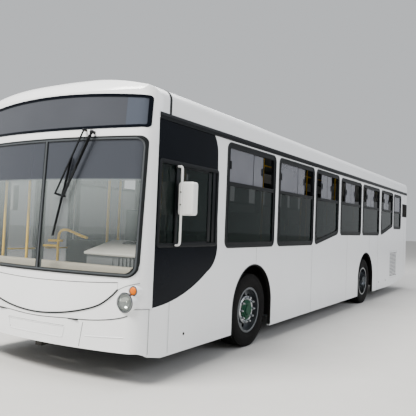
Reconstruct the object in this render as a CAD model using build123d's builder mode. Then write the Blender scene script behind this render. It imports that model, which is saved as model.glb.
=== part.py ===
from build123d import *

import os
from math import asin, cos, degrees, radians, sin, sqrt

# A two-axle city bus in millimetres: X runs forward, Y to its left, Z up from the ground.
# The origin lies on the ground below the middle of the body.

os.makedirs("parts", exist_ok=True)

# Body envelope
length = 12000
width = 2550
height = 3110
nose_x = length / 2
tail_end_x = -length / 2
half_width = width / 2

# Body section: upright sides, a small shoulder radius and a gently arched roof
shoulder_r = 120
crown_r = 5000
gutter_z = 2660
belt_z = 1180
crown_centre_z = height - crown_r
shoulder_y = half_width - shoulder_r
shoulder_z = crown_centre_z + sqrt((crown_r - shoulder_r) ** 2 - shoulder_y ** 2)

# Wall and panel thicknesses
wall_t = 40
roof_t = 45
shell_t = 36
floor_t = 40
seam = 3
touch_gap = 0.3
lid_gap = 5

# Where the panels meet along the bus
mask_x = 5655
bumper_side_x = 5708
cap_x = 5490
tail_x = -5915
dome_x = -5700

# Front seen from above: one big arc between two corner arcs
corner_r = 200
corner_setback = 320
corner_y = half_width - corner_r
bulge = corner_setback - corner_r
nose_r = (corner_setback ** 2 + corner_y ** 2 - corner_r ** 2) / (2 * bulge)

# Height of each level of the front and how far it lies behind the nose
nose_levels = [(150, 15), (1080, 0), (2430, 50), (2930, 85), (3300, 130)]
brow_z = 2925
brow_setback = 84
brow_r = 300

# Running gear
wheel_r = 480
tyre_w = 275
flange_r = 298
bead_r = 286
rim_t = 14
tyre_inset = 40
front_axle_x = 3516
rear_axle_x = -1829
kingpin_y = 960
twin_spacing = 313
tyre_y = half_width - tyre_inset - tyre_w / 2
hub_z = wheel_r
arch_rows = [(front_axle_x, 538, 540), (rear_axle_x, 553, 544)]  # centre x, radius, centre z

# Lower edge of the side panels
nose_skirt_z = 285
front_skirt_z = 240
skirt_z = 204
nose_curve_x = 5500
tail_curve_x = -3710
tail_rise = 185
seam_xs = [5390, 3456, 1416, -473, -2820]

# Floors
low_floor_z = 360
high_floor_z = 720
step_x = 0
engine_hump_x = -4950
engine_hump_z = 1400
floor_end_x = 5560
housing_t = 15
housing_y = 615
housing_rows = [(front_axle_x, 590, 1110, low_floor_z), (rear_axle_x, 590, 1125, high_floor_z),
                (-4385, 440, 1140, high_floor_z)]

# Doors on the right side: rear edge, front edge
door_rows = [("front", 4340, 5510), ("middle", 80, 1330)]
door_top_z = 2300
door_t = 36
door_pivot_r = 12
door_edge_gap = 6
door_frame_w = 62
door_glass_t = 6

# Side windows: name, front x, rear x, sill z at the front, sill z at the rear, top z
window_rows = [
    ("w1", 4313, 2923, 1315, 1315, 2620),
    ("w2", 2822, 1395, 1315, 1315, 2620),
    ("w3", 1316, 95, 1313, 1507, 2620),
    ("w4", -17, -1394, 1484, 1484, 2600),
    ("w5", -1500, -2903, 1486, 1486, 2600),
    ("w6", -3066, -4247, 1488, 1716, 2595),
    ("w7", -4347, -5199, 1660, 1660, 2586),
]
window_corner_r = 95
window_frame_w = 72
window_rail_low_z = 2084
window_rail_top_z = 2132
glass_t = 6
driver_window = (5620, 4515, 1370, 1370, 2220)
driver_corner_r = 30

# Black panel round the driver's window
patch_t = 8
patch_rear_x = 4470
patch_turn = (4670, 1058)
patch_tip_z = 754
patch_top_z = 2650

# Windscreen, hatch and bumper lines on the front: half widths and heights
screen_half_top = 1232
screen_half_low = 1224
screen_top_z = 2446
screen_low_z = 1050
screen_top_r = 70
screen_low_r = 150
seal_w = 38
divider_w = 46
screen_t = 8
screen_inset = 5
seal_proud = 3
sign_t = 20
sign_half = 1238
sign_low_z = 2523
sign_top_z = 2908
sign_side_low_z = 2530
sign_side_top_z = 2852
hatch_half = 1031
hatch_top_z = 1000
hatch_crown_z = 966
hatch_side_z = 935
hatch_low_z = 620
hatch_cheek = (926, 833)
hatch_turn = (797, 751)
bumper_mid_z = 572
bumper_side_z = 742
bumper_low_z = 325
lamp_y = 1118
lamp_z = 815
lamp_r = 95
lamp_face_x = 5884
amber_y = 1190
amber_z = 930
amber_r = 45
amber_face_x = 5852


def block(x0, x1, y0, y1, z0, z1, mode=Mode.ADD):
    """A box between two corners, in the part that is being built."""
    with Locations(((x0 + x1) / 2, (y0 + y1) / 2, (z0 + z1) / 2)):
        Box(abs(x1 - x0), abs(y1 - y0), abs(z1 - z0), mode=mode)


def bar_y(x, z, y0, y1, radius, mode=Mode.ADD):
    """A round bar across the bus."""
    with Locations(Location((x, (y0 + y1) / 2, z), (90, 0, 0))):
        Cylinder(radius, abs(y1 - y0), mode=mode)


def bar_x(y, z, x0, x1, radius, mode=Mode.ADD):
    """A round bar along the bus."""
    with Locations(Location(((x0 + x1) / 2, y, z), (0, 90, 0))):
        Cylinder(radius, abs(x1 - x0), mode=mode)


def post(x, y, z0, z1, radius, mode=Mode.ADD):
    """An upright round bar."""
    with Locations((x, y, (z0 + z1) / 2)):
        Cylinder(radius, abs(z1 - z0), mode=mode)


def side_plane(y):
    """A sketch plane at one Y, with X across, Z up and its normal to the right."""
    return Plane(origin=(0, y, 0), x_dir=(1, 0, 0), z_dir=(0, -1, 0))


def front_plane(x):
    """A sketch plane at one X, with Y across, Z up and its normal forward."""
    return Plane(origin=(x, 0, 0), x_dir=(0, 1, 0), z_dir=(1, 0, 0))


def finish(builder, name):
    """Labels a finished piece and writes it."""
    builder.part.label = name
    export_step(builder.part, f"parts/{name}.step")


# Chassis frame: two long rails, low in front and raised behind, with cross-members
rail_y = 420
rail_w = 80
low_rail_z = (250, low_floor_z - floor_t)
high_rail_z = (590, high_floor_z - floor_t)
frame_front_x = 5450
frame_rear_x = -5800
cross_rows_low = [5300, 4400, 3950, 3080, 2400, 1500, 600]
cross_rows_high = [-600, -1400, -2260, -3100, -4000, -4900, -5765]
cross_w = 70
tow_eye_x = 5880
tow_eye_z = (262, 302)
tow_eye_w = 90
tow_bore_r = 25
jack_pad_drop = 15
jack_pad_long = 140
jack_pad_rows = [(2700, low_rail_z[0]), (-1000, high_rail_z[0])]
with BuildPart() as chassis_frame:
    for side in (-1, 1):
        y_out = side * (rail_y + rail_w / 2)
        y_in = side * (rail_y - rail_w / 2)
        block(step_x - wall_t, frame_front_x, y_out, y_in, *low_rail_z)
        block(frame_rear_x, step_x - wall_t, y_out, y_in, *high_rail_z)
        block(step_x - 3 * wall_t, step_x - wall_t, y_out, y_in, low_rail_z[0], high_rail_z[1])
    for x in cross_rows_low:
        block(x - cross_w / 2, x + cross_w / 2, -rail_y, rail_y, *low_rail_z)
    for x in cross_rows_high:
        block(x - cross_w / 2, x + cross_w / 2, -rail_y, rail_y, *high_rail_z)
    for x, rail_z in jack_pad_rows:
        for side in (-1, 1):
            block(x - jack_pad_long / 2, x + jack_pad_long / 2, side * (rail_y - rail_w / 2),
                  side * (rail_y + rail_w / 2), rail_z - jack_pad_drop, rail_z)
    block(cross_rows_low[0], tow_eye_x + tow_eye_w / 2, -tow_eye_w / 2, tow_eye_w / 2, *tow_eye_z)
    post(tow_eye_x, 0, *tow_eye_z, tow_bore_r, Mode.SUBTRACT)
finish(chassis_frame, "chassis_frame")


def housing(x, half, top_z, floor_z, side):
    """A wheel housing: a box shell that is open below and towards the side panel."""
    wall_y = side * (half_width - wall_t)
    inner_y = side * housing_y
    block(x - half, x + half, inner_y, wall_y, floor_z - floor_t, top_z)


def housing_space(x, half, top_z, floor_z, side):
    """The wheel's space inside a housing, cut through the floor."""
    wall_y = side * (half_width - wall_t)
    inner_y = side * (housing_y + housing_t)
    block(x - half + housing_t, x + half - housing_t, inner_y, wall_y, 0, top_z - housing_t, Mode.SUBTRACT)


# Low floor from the front to the step, with the front wheel housings
inside_y = half_width - wall_t
with BuildPart() as low_floor:
    block(step_x, floor_end_x, -inside_y, inside_y, low_floor_z - floor_t, low_floor_z)
    for side in (-1, 1):
        housing(*housing_rows[0], side)
    for side in (-1, 1):
        housing_space(*housing_rows[0], side)
finish(low_floor, "low_floor")

# Raised rear floor with its riser, one step, the rear wheel housings and the engine hump
riser_t = 30
stair_depth = 300
stair_half = 400
with BuildPart() as high_floor:
    block(engine_hump_x, step_x, -inside_y, inside_y, high_floor_z - floor_t, high_floor_z)
    block(step_x - riser_t, step_x, -inside_y, inside_y, low_floor_z - floor_t, high_floor_z)
    stair_z = (low_floor_z + high_floor_z) / 2
    block(step_x - riser_t, step_x + stair_depth, -stair_half, stair_half, low_floor_z, stair_z)
    block(engine_hump_x, engine_hump_x + riser_t, -inside_y, inside_y, high_floor_z - floor_t, engine_hump_z)
    block(tail_x, engine_hump_x + riser_t, -inside_y, inside_y, engine_hump_z - floor_t, engine_hump_z)
    for side in (-1, 1):
        housing(*housing_rows[1], side)
    housing(*housing_rows[2], 1)
    for side in (-1, 1):
        housing_space(*housing_rows[1], side)
    housing_space(*housing_rows[2], 1)
finish(high_floor, "high_floor")

# Radiator as one plain block, hung between the walls of its housing behind the left side's grille
radiator_y = (1080, 1180)
radiator_low_z = 430
radiator_row = housing_rows[2]
radiator_half = radiator_row[1] - housing_t
with BuildPart() as radiator:
    block(radiator_row[0] - radiator_half, radiator_row[0] + radiator_half, *radiator_y,
          radiator_low_z, radiator_row[2] - housing_t)
finish(radiator, "radiator")


def lower_wall_face():
    """A whole lower side from the front mask to the rear mask, with its rising tail."""
    run = tail_curve_x - tail_x
    tail_r = (run ** 2 + tail_rise ** 2) / (2 * tail_rise)
    mid_z = skirt_z + tail_r - sqrt(tail_r ** 2 - (run / 2) ** 2)
    with BuildSketch() as outline:
        with BuildLine():
            Polyline((tail_x, skirt_z + tail_rise), (tail_x, belt_z), (mask_x, belt_z),
                     (mask_x, bumper_side_z - seam), (bumper_side_x - seam, bumper_side_z - seam),
                     (bumper_side_x - seam, nose_skirt_z), (nose_curve_x, front_skirt_z),
                     (front_axle_x, front_skirt_z), (front_axle_x, skirt_z), (tail_curve_x, skirt_z))
            ThreePointArc((tail_curve_x, skirt_z), (tail_curve_x - run / 2, mid_z),
                          (tail_x, skirt_z + tail_rise))
        make_face()
    return outline.sketch


def arch_face(x, radius, centre_z):
    """A wheel arch: upright sides under a half circle."""
    with BuildSketch() as outline:
        with BuildLine():
            Polyline((x - radius, centre_z), (x - radius, 0), (x + radius, 0), (x + radius, centre_z))
            ThreePointArc((x + radius, centre_z), (x, centre_z + radius), (x - radius, centre_z))
        make_face()
    return outline.sketch


def wall_plane(side):
    """The plane from which a side wall is extruded towards the right by its thickness."""
    return side_plane(half_width if side > 0 else wall_t - half_width)


def patch_face():
    """Black panel round the driver's window, with its sickle-shaped lower rear edge."""
    with BuildSketch() as outline:
        with BuildLine():
            Polyline((mask_x, patch_tip_z), (mask_x, patch_top_z), (patch_rear_x + 152, patch_top_z))
            ThreePointArc((patch_rear_x + 152, patch_top_z), (patch_rear_x + 92, 2570), (patch_rear_x + 56, 2440))
            Line((patch_rear_x + 56, 2440), (patch_rear_x, 1320))
            ThreePointArc((patch_rear_x, 1320), (4529, 1165), patch_turn)
            ThreePointArc(patch_turn, (5175, 832), (mask_x, patch_tip_z))
        make_face()
    return outline.sketch


def window_face(front, rear, low_front, low_rear, top, radius, inset=0.0):
    """A rounded window outline, set in from its edge by inset."""
    with BuildSketch() as outline:
        with BuildLine():
            Polyline((front, low_front), (rear, low_rear), (rear, top), (front, top), close=True)
        make_face()
        fillet(outline.vertices(), radius)
        if inset:
            offset(amount=-inset, mode=Mode.REPLACE)
    return outline.sketch


radiator_x0 = -4780
radiator_x1 = -3975
radiator_z0 = 410
radiator_z1 = 1085


def lower_walls(side):
    """One side's lower panels, cut at the seams, wheel arches, doorways and radiator door."""
    plane = wall_plane(side)
    with BuildPart() as panels:
        with BuildSketch(plane):
            add(lower_wall_face())
        extrude(amount=wall_t)
        for row in arch_rows:
            with BuildSketch(plane):
                add(arch_face(*row))
            extrude(amount=wall_t, mode=Mode.SUBTRACT)
        y0 = side * half_width
        y1 = side * (half_width - wall_t)
        for x in seam_xs:
            block(x - seam / 2, x + seam / 2, y0, y1, 0, belt_z, Mode.SUBTRACT)
        if side < 0:
            for name, rear, front in door_rows:
                block(rear, front, y0, y1, low_floor_z, belt_z, Mode.SUBTRACT)
                block(rear, rear + seam, y0, y1, 0, low_floor_z, Mode.SUBTRACT)
                block(front - seam, front, y0, y1, 0, low_floor_z, Mode.SUBTRACT)
        else:
            block(radiator_x0 - lid_gap, radiator_x1 + lid_gap, y0, y1,
                  radiator_z0 - lid_gap, radiator_z1 + lid_gap, Mode.SUBTRACT)
            with BuildSketch(plane):
                add(patch_face())
            extrude(amount=patch_t, mode=Mode.SUBTRACT)
    return panels


left_lower_wall = lower_walls(1)
finish(left_lower_wall, "left_lower_wall")
right_lower_wall = lower_walls(-1)
finish(right_lower_wall, "right_lower_wall")

right_window_names = ["w1", "w2", "w4", "w5", "w6", "w7"]


def side_windows(side):
    """The window rows of one side: the right side has the middle door in place of one."""
    return [row for row in window_rows if side > 0 or row[0] in right_window_names]


def upper_walls(side):
    """One side's window band from the belt to the gutter."""
    plane = wall_plane(side)
    y0 = side * half_width
    y1 = side * (half_width - wall_t)
    with BuildPart() as band:
        block(tail_x, mask_x, y0, y1, belt_z, gutter_z)
        for row in side_windows(side):
            with BuildSketch(plane):
                add(window_face(*row[1:], window_corner_r))
            extrude(amount=wall_t, mode=Mode.SUBTRACT)
        if side > 0:
            with BuildSketch(plane):
                add(window_face(*driver_window, driver_corner_r))
            extrude(amount=wall_t, mode=Mode.SUBTRACT)
            with BuildSketch(plane):
                add(patch_face())
            extrude(amount=patch_t, mode=Mode.SUBTRACT)
        else:
            for name, rear, front in door_rows:
                block(rear, front, y0, y1, belt_z, gutter_z, Mode.SUBTRACT)
    return band


left_window_band = upper_walls(1)
finish(left_window_band, "left_window_band")
right_window_band = upper_walls(-1)
finish(right_window_band, "right_window_band")

with BuildPart() as driver_panel:
    with BuildSketch(wall_plane(1)):
        add(patch_face())
    extrude(amount=patch_t)
    with BuildSketch(wall_plane(1)):
        add(window_face(*driver_window, driver_corner_r))
    extrude(amount=patch_t, mode=Mode.SUBTRACT)
finish(driver_panel, "driver_panel")

# Headers over the two doorways
with BuildPart() as door_headers:
    for name, rear, front in door_rows:
        block(rear, front, -half_width, wall_t - half_width, door_top_z, gutter_z)
finish(door_headers, "door_headers")

# Window frames with the rail below their sliding panes, and the panes, in both sides
pane_depth = 14
with BuildPart() as window_frames:
    for side in (1, -1):
        plane = wall_plane(side)
        for row in side_windows(side):
            with BuildSketch(plane):
                add(window_face(*row[1:], window_corner_r))
            extrude(amount=wall_t)
            with BuildSketch(plane):
                add(window_face(*row[1:], window_corner_r, window_frame_w))
            extrude(amount=wall_t, mode=Mode.SUBTRACT)
        for row in side_windows(side):
            block(row[1] - window_frame_w / 2, row[2] + window_frame_w / 2, side * half_width,
                  side * (half_width - pane_depth + touch_gap), window_rail_low_z, window_rail_top_z)
finish(window_frames, "window_frames")

with BuildPart() as side_glass:
    for side in (1, -1):
        pane_y = half_width - pane_depth if side > 0 else pane_depth + glass_t - half_width
        for row in side_windows(side):
            with BuildSketch(side_plane(pane_y)):
                add(window_face(*row[1:], window_corner_r, window_frame_w))
            extrude(amount=glass_t)
    with BuildSketch(side_plane(half_width - pane_depth)):
        add(window_face(*driver_window, driver_corner_r))
    extrude(amount=glass_t)
finish(side_glass, "side_glass")


def section_face(inset, floor):
    """The body's cross-section from a floor height up, set in by inset: walls, shoulders, roof."""
    hw = half_width - inset
    small = shoulder_r - inset
    big = crown_r - inset
    rise = shoulder_z - crown_centre_z
    run = shoulder_y
    span = sqrt(rise ** 2 + run ** 2)
    join = (run * big / span, crown_centre_z + rise * big / span)
    turn = asin(run / span)
    half_turn = (radians(90) - turn) / 2
    mid = (shoulder_y + small * cos(half_turn), shoulder_z + small * sin(half_turn))
    with BuildSketch() as outline:
        with BuildLine():
            Polyline((-hw, shoulder_z), (-hw, floor), (hw, floor), (hw, shoulder_z))
            ThreePointArc((hw, shoulder_z), mid, join)
            ThreePointArc(join, (0, height - inset), (-join[0], join[1]))
            ThreePointArc((-join[0], join[1]), (-mid[0], mid[1]), (-hw, shoulder_z))
        make_face()
    return outline.sketch


# Roof shell from the front cap to the rear dome, and the gutter rails below its edges
hatch_rows = [(2150, 700), (-3100, 700)]
hatch_half_w = 320
hatch_lip = 30
hatch_drop = 16
with BuildPart() as roof_shell:
    with BuildSketch(front_plane(dome_x + seam)):
        add(section_face(0, gutter_z))
    extrude(amount=cap_x - seam - (dome_x + seam))
    with BuildSketch(front_plane(dome_x + seam)):
        add(section_face(roof_t, gutter_z - roof_t))
    extrude(amount=cap_x - seam - (dome_x + seam), mode=Mode.SUBTRACT)
    block(tail_x, mask_x, -half_width, half_width, gutter_z - 2 * roof_t, gutter_z, Mode.SUBTRACT)
    for x, long in hatch_rows:
        block(x - long / 2, x + long / 2, -hatch_half_w, hatch_half_w, height - 2 * roof_t, height,
              Mode.SUBTRACT)
finish(roof_shell, "roof_shell")

with BuildPart() as roof_hatches:
    for x, long in hatch_rows:
        block(x - long / 2 + touch_gap, x + long / 2 - touch_gap, touch_gap - hatch_half_w,
              hatch_half_w - touch_gap, height - roof_t - hatch_drop, height)
        block(x - long / 2 - hatch_lip, x + long / 2 + hatch_lip, -hatch_half_w - hatch_lip,
              hatch_half_w + hatch_lip, height - roof_t - 2 * hatch_drop, height - roof_t - hatch_drop)
finish(roof_hatches, "roof_hatches")

gutter_out = 12
gutter_h = 30
with BuildPart() as gutter_rails:
    for side in (-1, 1):
        block(tail_x, mask_x, side * half_width, side * (half_width + gutter_out),
              gutter_z - gutter_h / 2, gutter_z + gutter_h / 2)
finish(gutter_rails, "gutter_rails")


def nose_face(front_x, inset):
    """The front's outline seen from above: big arc, two corner arcs and straight sides."""
    small = corner_r - inset
    big = nose_r - inset
    centre_x = front_x - nose_r
    corner_x = front_x - corner_setback
    turn = asin(corner_y / (nose_r - corner_r))
    join = (centre_x + big * cos(turn), big * sin(turn))
    half_turn = (radians(90) + turn) / 2
    mid = (corner_x + small * cos(half_turn), corner_y + small * sin(half_turn))
    side_y = half_width - inset
    with BuildSketch() as outline:
        with BuildLine():
            Polyline((corner_x, side_y), (4000, side_y), (4000, -side_y), (corner_x, -side_y))
            ThreePointArc((corner_x, -side_y), (mid[0], -mid[1]), (join[0], -join[1]))
            ThreePointArc((join[0], -join[1]), (front_x - inset, 0), join)
            ThreePointArc(join, mid, (corner_x, side_y))
        make_face()
    return outline.sketch


def nose_solid(inset):
    """The whole front as a solid, set in from the outer skin by inset."""
    with BuildPart() as solid:
        for z, setback in nose_levels:
            with BuildSketch(Plane.XY.offset(z)):
                add(nose_face(nose_x - setback, inset))
        loft(ruled=True)
        with BuildSketch(front_plane(3900)):
            add(section_face(inset, 0))
        extrude(amount=nose_x + 500 - 3900, mode=Mode.INTERSECT)
        centre_x = nose_x - nose_r
        start_r = nose_r - brow_setback - inset
        drop = height - brow_z
        reach = sqrt(brow_r ** 2 - (brow_r - drop) ** 2)
        angle = asin((brow_r - drop) / brow_r)
        mid_angle = (radians(90) + angle) / 2
        arc_x = start_r - reach
        arc_z = height - inset - brow_r
        arc_mid = (arc_x + brow_r * cos(mid_angle), arc_z + brow_r * sin(mid_angle))
        with BuildSketch(side_plane(0)):
            with BuildLine():
                Polyline((centre_x, 0), (centre_x + nose_r + 60, 0), (centre_x + nose_r + 60, 2500),
                         (centre_x + start_r, brow_z - inset))
                ThreePointArc((centre_x + start_r, brow_z - inset), (centre_x + arc_mid[0], arc_mid[1]),
                              (centre_x + arc_x, height - inset))
                Polyline((centre_x + arc_x, height - inset), (centre_x, height - inset), (centre_x, 0))
            make_face()
        revolve(axis=Axis((centre_x, 0, 0), (0, 0, 1)), revolution_arc=360, mode=Mode.INTERSECT)
    return solid.part


# The outer skin swells round each lamp into a short cone
with BuildPart() as nose_skin:
    add(nose_solid(0))
    for lamp_place_y, lamp_place_z, face_x, radius in ((lamp_y, lamp_z, lamp_face_x, lamp_r),
                                                       (amber_y, amber_z, amber_face_x, amber_r)):
        for side in (-1, 1):
            with Locations(Location((face_x - 46, side * lamp_place_y, lamp_place_z), (0, 90, 0))):
                Cone(radius + 16, radius + 6, 84)
nose_outer = nose_skin.part
nose_inner = nose_solid(shell_t)
glass_outer = nose_solid(screen_inset)
glass_inner = nose_solid(screen_inset + screen_t)
seal_outer = nose_solid(-seal_proud)
sign_inner = nose_solid(screen_inset + sign_t)


def screen_face(inset=0.0):
    """The windscreen opening seen from the front."""
    with BuildSketch() as outline:
        with BuildLine():
            Polyline((-screen_half_low, screen_low_z), (screen_half_low, screen_low_z),
                     (screen_half_top, screen_top_z), (-screen_half_top, screen_top_z), close=True)
        make_face()
        fillet(outline.vertices().group_by(Axis.Y)[0], screen_low_r)
        fillet(outline.vertices().group_by(Axis.Y)[-1], screen_top_r)
        if inset:
            offset(amount=-inset, mode=Mode.REPLACE)
    return outline.sketch


def sign_face(inset=0.0):
    """The destination sign's opening seen from the front, arched above and below."""
    with BuildSketch() as outline:
        with BuildLine():
            ThreePointArc((-sign_half, sign_side_low_z), (0, sign_low_z), (sign_half, sign_side_low_z))
            Line((sign_half, sign_side_low_z), (sign_half, sign_side_top_z))
            ThreePointArc((sign_half, sign_side_top_z), (0, sign_top_z), (-sign_half, sign_side_top_z))
            Line((-sign_half, sign_side_top_z), (-sign_half, sign_side_low_z))
        make_face()
        fillet(outline.vertices(), 34)
        if inset:
            offset(amount=-inset, mode=Mode.REPLACE)
    return outline.sketch


def hatch_face(inset=0.0):
    """The smile-shaped front hatch below the windscreen."""
    with BuildSketch() as outline:
        with BuildLine():
            Line((-hatch_half, hatch_side_z), (-hatch_half, hatch_top_z))
            ThreePointArc((-hatch_half, hatch_top_z), (0, hatch_crown_z), (hatch_half, hatch_top_z))
            Line((hatch_half, hatch_top_z), (hatch_half, hatch_side_z))
            ThreePointArc((hatch_half, hatch_side_z), hatch_cheek, hatch_turn)
            ThreePointArc(hatch_turn, (0, hatch_low_z), (-hatch_turn[0], hatch_turn[1]))
            ThreePointArc((-hatch_turn[0], hatch_turn[1]), (-hatch_cheek[0], hatch_cheek[1]),
                          (-hatch_half, hatch_side_z))
        make_face()
        if inset:
            offset(amount=-inset, mode=Mode.REPLACE)
    return outline.sketch


def bumper_face():
    """Everything below the bumper's curved upper line, seen from the front."""
    with BuildSketch() as outline:
        with BuildLine():
            Polyline((inside_y, bumper_side_z), (half_width + 50, bumper_side_z), (half_width + 50, 0),
                     (-half_width - 50, 0), (-half_width - 50, bumper_side_z), (-inside_y, bumper_side_z))
            ThreePointArc((-inside_y, bumper_side_z), (0, bumper_mid_z), (inside_y, bumper_side_z))
        make_face()
    return outline.sketch


view_x = 4000
view_depth = nose_x + 200 - view_x

with BuildPart() as front_mask:
    add(nose_outer)
    add(nose_inner, mode=Mode.SUBTRACT)
    with BuildSketch(front_plane(view_x)):
        add(bumper_face())
    extrude(amount=view_depth, mode=Mode.SUBTRACT)
    with BuildSketch(front_plane(view_x)):
        add(screen_face())
    extrude(amount=view_depth, mode=Mode.SUBTRACT)
    with BuildSketch(front_plane(view_x)):
        add(sign_face())
    extrude(amount=view_depth, mode=Mode.SUBTRACT)
    with BuildSketch(front_plane(view_x)):
        add(hatch_face())
    extrude(amount=view_depth, mode=Mode.SUBTRACT)
    block(view_x - 100, mask_x + seam, -half_width - 20, half_width + 20, 0, gutter_z, Mode.SUBTRACT)
    block(view_x - 100, cap_x, -half_width - 20, half_width + 20, 0, height + 20, Mode.SUBTRACT)
    for side in (-1, 1):
        bar_x(side * lamp_y, lamp_z, view_x, nose_x, lamp_r + touch_gap, Mode.SUBTRACT)
        bar_x(side * amber_y, amber_z, view_x, nose_x, amber_r + touch_gap, Mode.SUBTRACT)
finish(front_mask, "front_mask")

# Two lugs behind the hatch rest on the inside of the mask above it
lug_ys = (-460, -380, 380, 460)
with BuildPart() as hatch_lugs:
    block(nose_x - 90, nose_x, lug_ys[0], lug_ys[1], hatch_crown_z - 30, hatch_crown_z + 38)
    block(nose_x - 90, nose_x, lug_ys[2], lug_ys[3], hatch_crown_z - 30, hatch_crown_z + 38)
    add(nose_inner, mode=Mode.INTERSECT)

with BuildPart() as front_hatch:
    add(nose_outer)
    add(nose_inner, mode=Mode.SUBTRACT)
    with BuildSketch(front_plane(view_x + 1000)):
        add(hatch_face(seam))
    extrude(amount=view_depth, mode=Mode.INTERSECT)
    add(hatch_lugs.part)
finish(front_hatch, "front_hatch")

with BuildPart() as front_bumper:
    add(nose_outer)
    add(nose_inner, mode=Mode.SUBTRACT)
    with BuildSketch(front_plane(view_x)):
        add(bumper_face())
    extrude(amount=view_depth, mode=Mode.INTERSECT)
    with BuildSketch(side_plane(half_width + 100)):
        with BuildLine():
            Polyline((bumper_side_x, bumper_side_z + 100), (bumper_side_x, nose_skirt_z + 9),
                     (5800, bumper_low_z), (nose_x + 100, bumper_low_z),
                     (nose_x + 100, bumper_side_z + 100), close=True)
        make_face()
    extrude(amount=width + 200, mode=Mode.INTERSECT)
finish(front_bumper, "front_bumper")

with BuildPart() as windscreen_panes:
    add(glass_outer)
    add(glass_inner, mode=Mode.SUBTRACT)
    with BuildSketch(front_plane(view_x + 1000)):
        add(screen_face(seal_w))
    extrude(amount=view_depth, mode=Mode.INTERSECT)
    block(view_x, nose_x, -divider_w / 2, divider_w / 2, 0, height, Mode.SUBTRACT)
finish(windscreen_panes, "windscreen_panes")

with BuildPart() as glazing_seals:
    add(seal_outer)
    add(nose_inner, mode=Mode.SUBTRACT)
    with BuildSketch(front_plane(view_x + 1000)) as seal_face:
        add(screen_face())
    extrude(amount=view_depth, mode=Mode.INTERSECT)
    with BuildSketch(front_plane(view_x)):
        add(screen_face(seal_w))
        with BuildLine():
            Polyline((-divider_w / 2, 0), (divider_w / 2, 0), (divider_w / 2, height),
                     (-divider_w / 2, height), close=True)
        make_face(mode=Mode.SUBTRACT)
    extrude(amount=view_depth, mode=Mode.SUBTRACT)
finish(glazing_seals, "glazing_seals")

with BuildPart() as destination_sign:
    add(glass_outer)
    add(sign_inner, mode=Mode.SUBTRACT)
    with BuildSketch(front_plane(view_x + 1000)):
        add(sign_face())
    extrude(amount=view_depth, mode=Mode.INTERSECT)
finish(destination_sign, "destination_sign")

lamp_back_x = 5790
with BuildPart() as front_lamps:
    for side in (-1, 1):
        bar_x(side * lamp_y, lamp_z, lamp_back_x, lamp_face_x, lamp_r)
        bar_x(side * amber_y, amber_z, lamp_back_x, amber_face_x, amber_r)
finish(front_lamps, "front_lamps")

# Rear mask: flat back with small corner radii and a rounded upper edge
tail_corner_r = 90
tail_dome_r = 170
tail_low_z = 400
lid_half = 900
lid_low_z = 760
lid_top_z = 1560
rear_pane_half = 880
rear_pane_low_z = 1760
rear_pane_top_z = 2480
rear_pane_r = 80
lamp_column_y = 1120
tail_lamp_r = 62
tail_lamp_zs = [880, 1030, 1180]
plate_hole_half = 240
plate_hole_z = 680
plate_hole_r = 3.5
rear_bumper_proud = 20.7
rear_bumper_half = 1150
rear_bumper_h = 180


def tail_solid(inset):
    """The whole rear as a solid, set in from the outer skin by inset."""
    front_x = dome_x
    with BuildPart() as solid:
        with BuildSketch(front_plane(tail_end_x + inset)):
            add(section_face(inset, tail_low_z))
        extrude(amount=front_x - tail_end_x - inset)
        corners = solid.edges().filter_by(Axis.Z).group_by(Axis.X)[0]
        fillet(corners, tail_corner_r - inset)
        with BuildSketch(side_plane(half_width + 50)):
            with BuildLine():
                Polyline((front_x, height - inset), (front_x, tail_low_z),
                         (tail_end_x + inset, tail_low_z),
                         (tail_end_x + inset, height - tail_dome_r))
                ThreePointArc((tail_end_x + inset, height - tail_dome_r),
                              (tail_end_x + tail_dome_r - (tail_dome_r - inset) * cos(radians(45)),
                               height - tail_dome_r + (tail_dome_r - inset) * sin(radians(45))),
                              (tail_end_x + tail_dome_r, height - inset))
                Line((tail_end_x + tail_dome_r, height - inset), (front_x, height - inset))
            make_face()
        extrude(amount=width + 100, mode=Mode.INTERSECT)
    return solid.part


tail_outer = tail_solid(0)
tail_inner = tail_solid(shell_t)

with BuildPart() as rear_mask:
    add(tail_outer)
    add(tail_inner, mode=Mode.SUBTRACT)
    block(tail_x - seam, dome_x + 50, -half_width - 20, half_width + 20, 0, gutter_z, Mode.SUBTRACT)
    block(dome_x, dome_x + 50, -half_width - 20, half_width + 20, 0, height + 20, Mode.SUBTRACT)
    with BuildSketch(front_plane(tail_end_x - 50)):
        with BuildLine():
            Polyline((-rear_pane_half, rear_pane_low_z), (rear_pane_half, rear_pane_low_z),
                     (rear_pane_half, rear_pane_top_z), (-rear_pane_half, rear_pane_top_z), close=True)
        pane_face = make_face()
        fillet(pane_face.vertices(), rear_pane_r)
    extrude(amount=150, mode=Mode.SUBTRACT)
    block(tail_end_x - 10, tail_end_x + 100, -lid_half - lid_gap, lid_half + lid_gap,
          lid_low_z - lid_gap, lid_top_z + lid_gap, Mode.SUBTRACT)
    for side in (-1, 1):
        for z in tail_lamp_zs:
            bar_x(side * lamp_column_y, z, tail_end_x - 10, tail_end_x + 100, tail_lamp_r + touch_gap,
                  Mode.SUBTRACT)
        bar_x(side * plate_hole_half, plate_hole_z, tail_end_x - 10, tail_end_x + 100, plate_hole_r,
              Mode.SUBTRACT)
finish(rear_mask, "rear_mask")

with BuildPart() as rear_bumper:
    block(tail_end_x - rear_bumper_proud, tail_end_x, -rear_bumper_half, rear_bumper_half, tail_low_z,
          tail_low_z + rear_bumper_h)
finish(rear_bumper, "rear_bumper")

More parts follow.
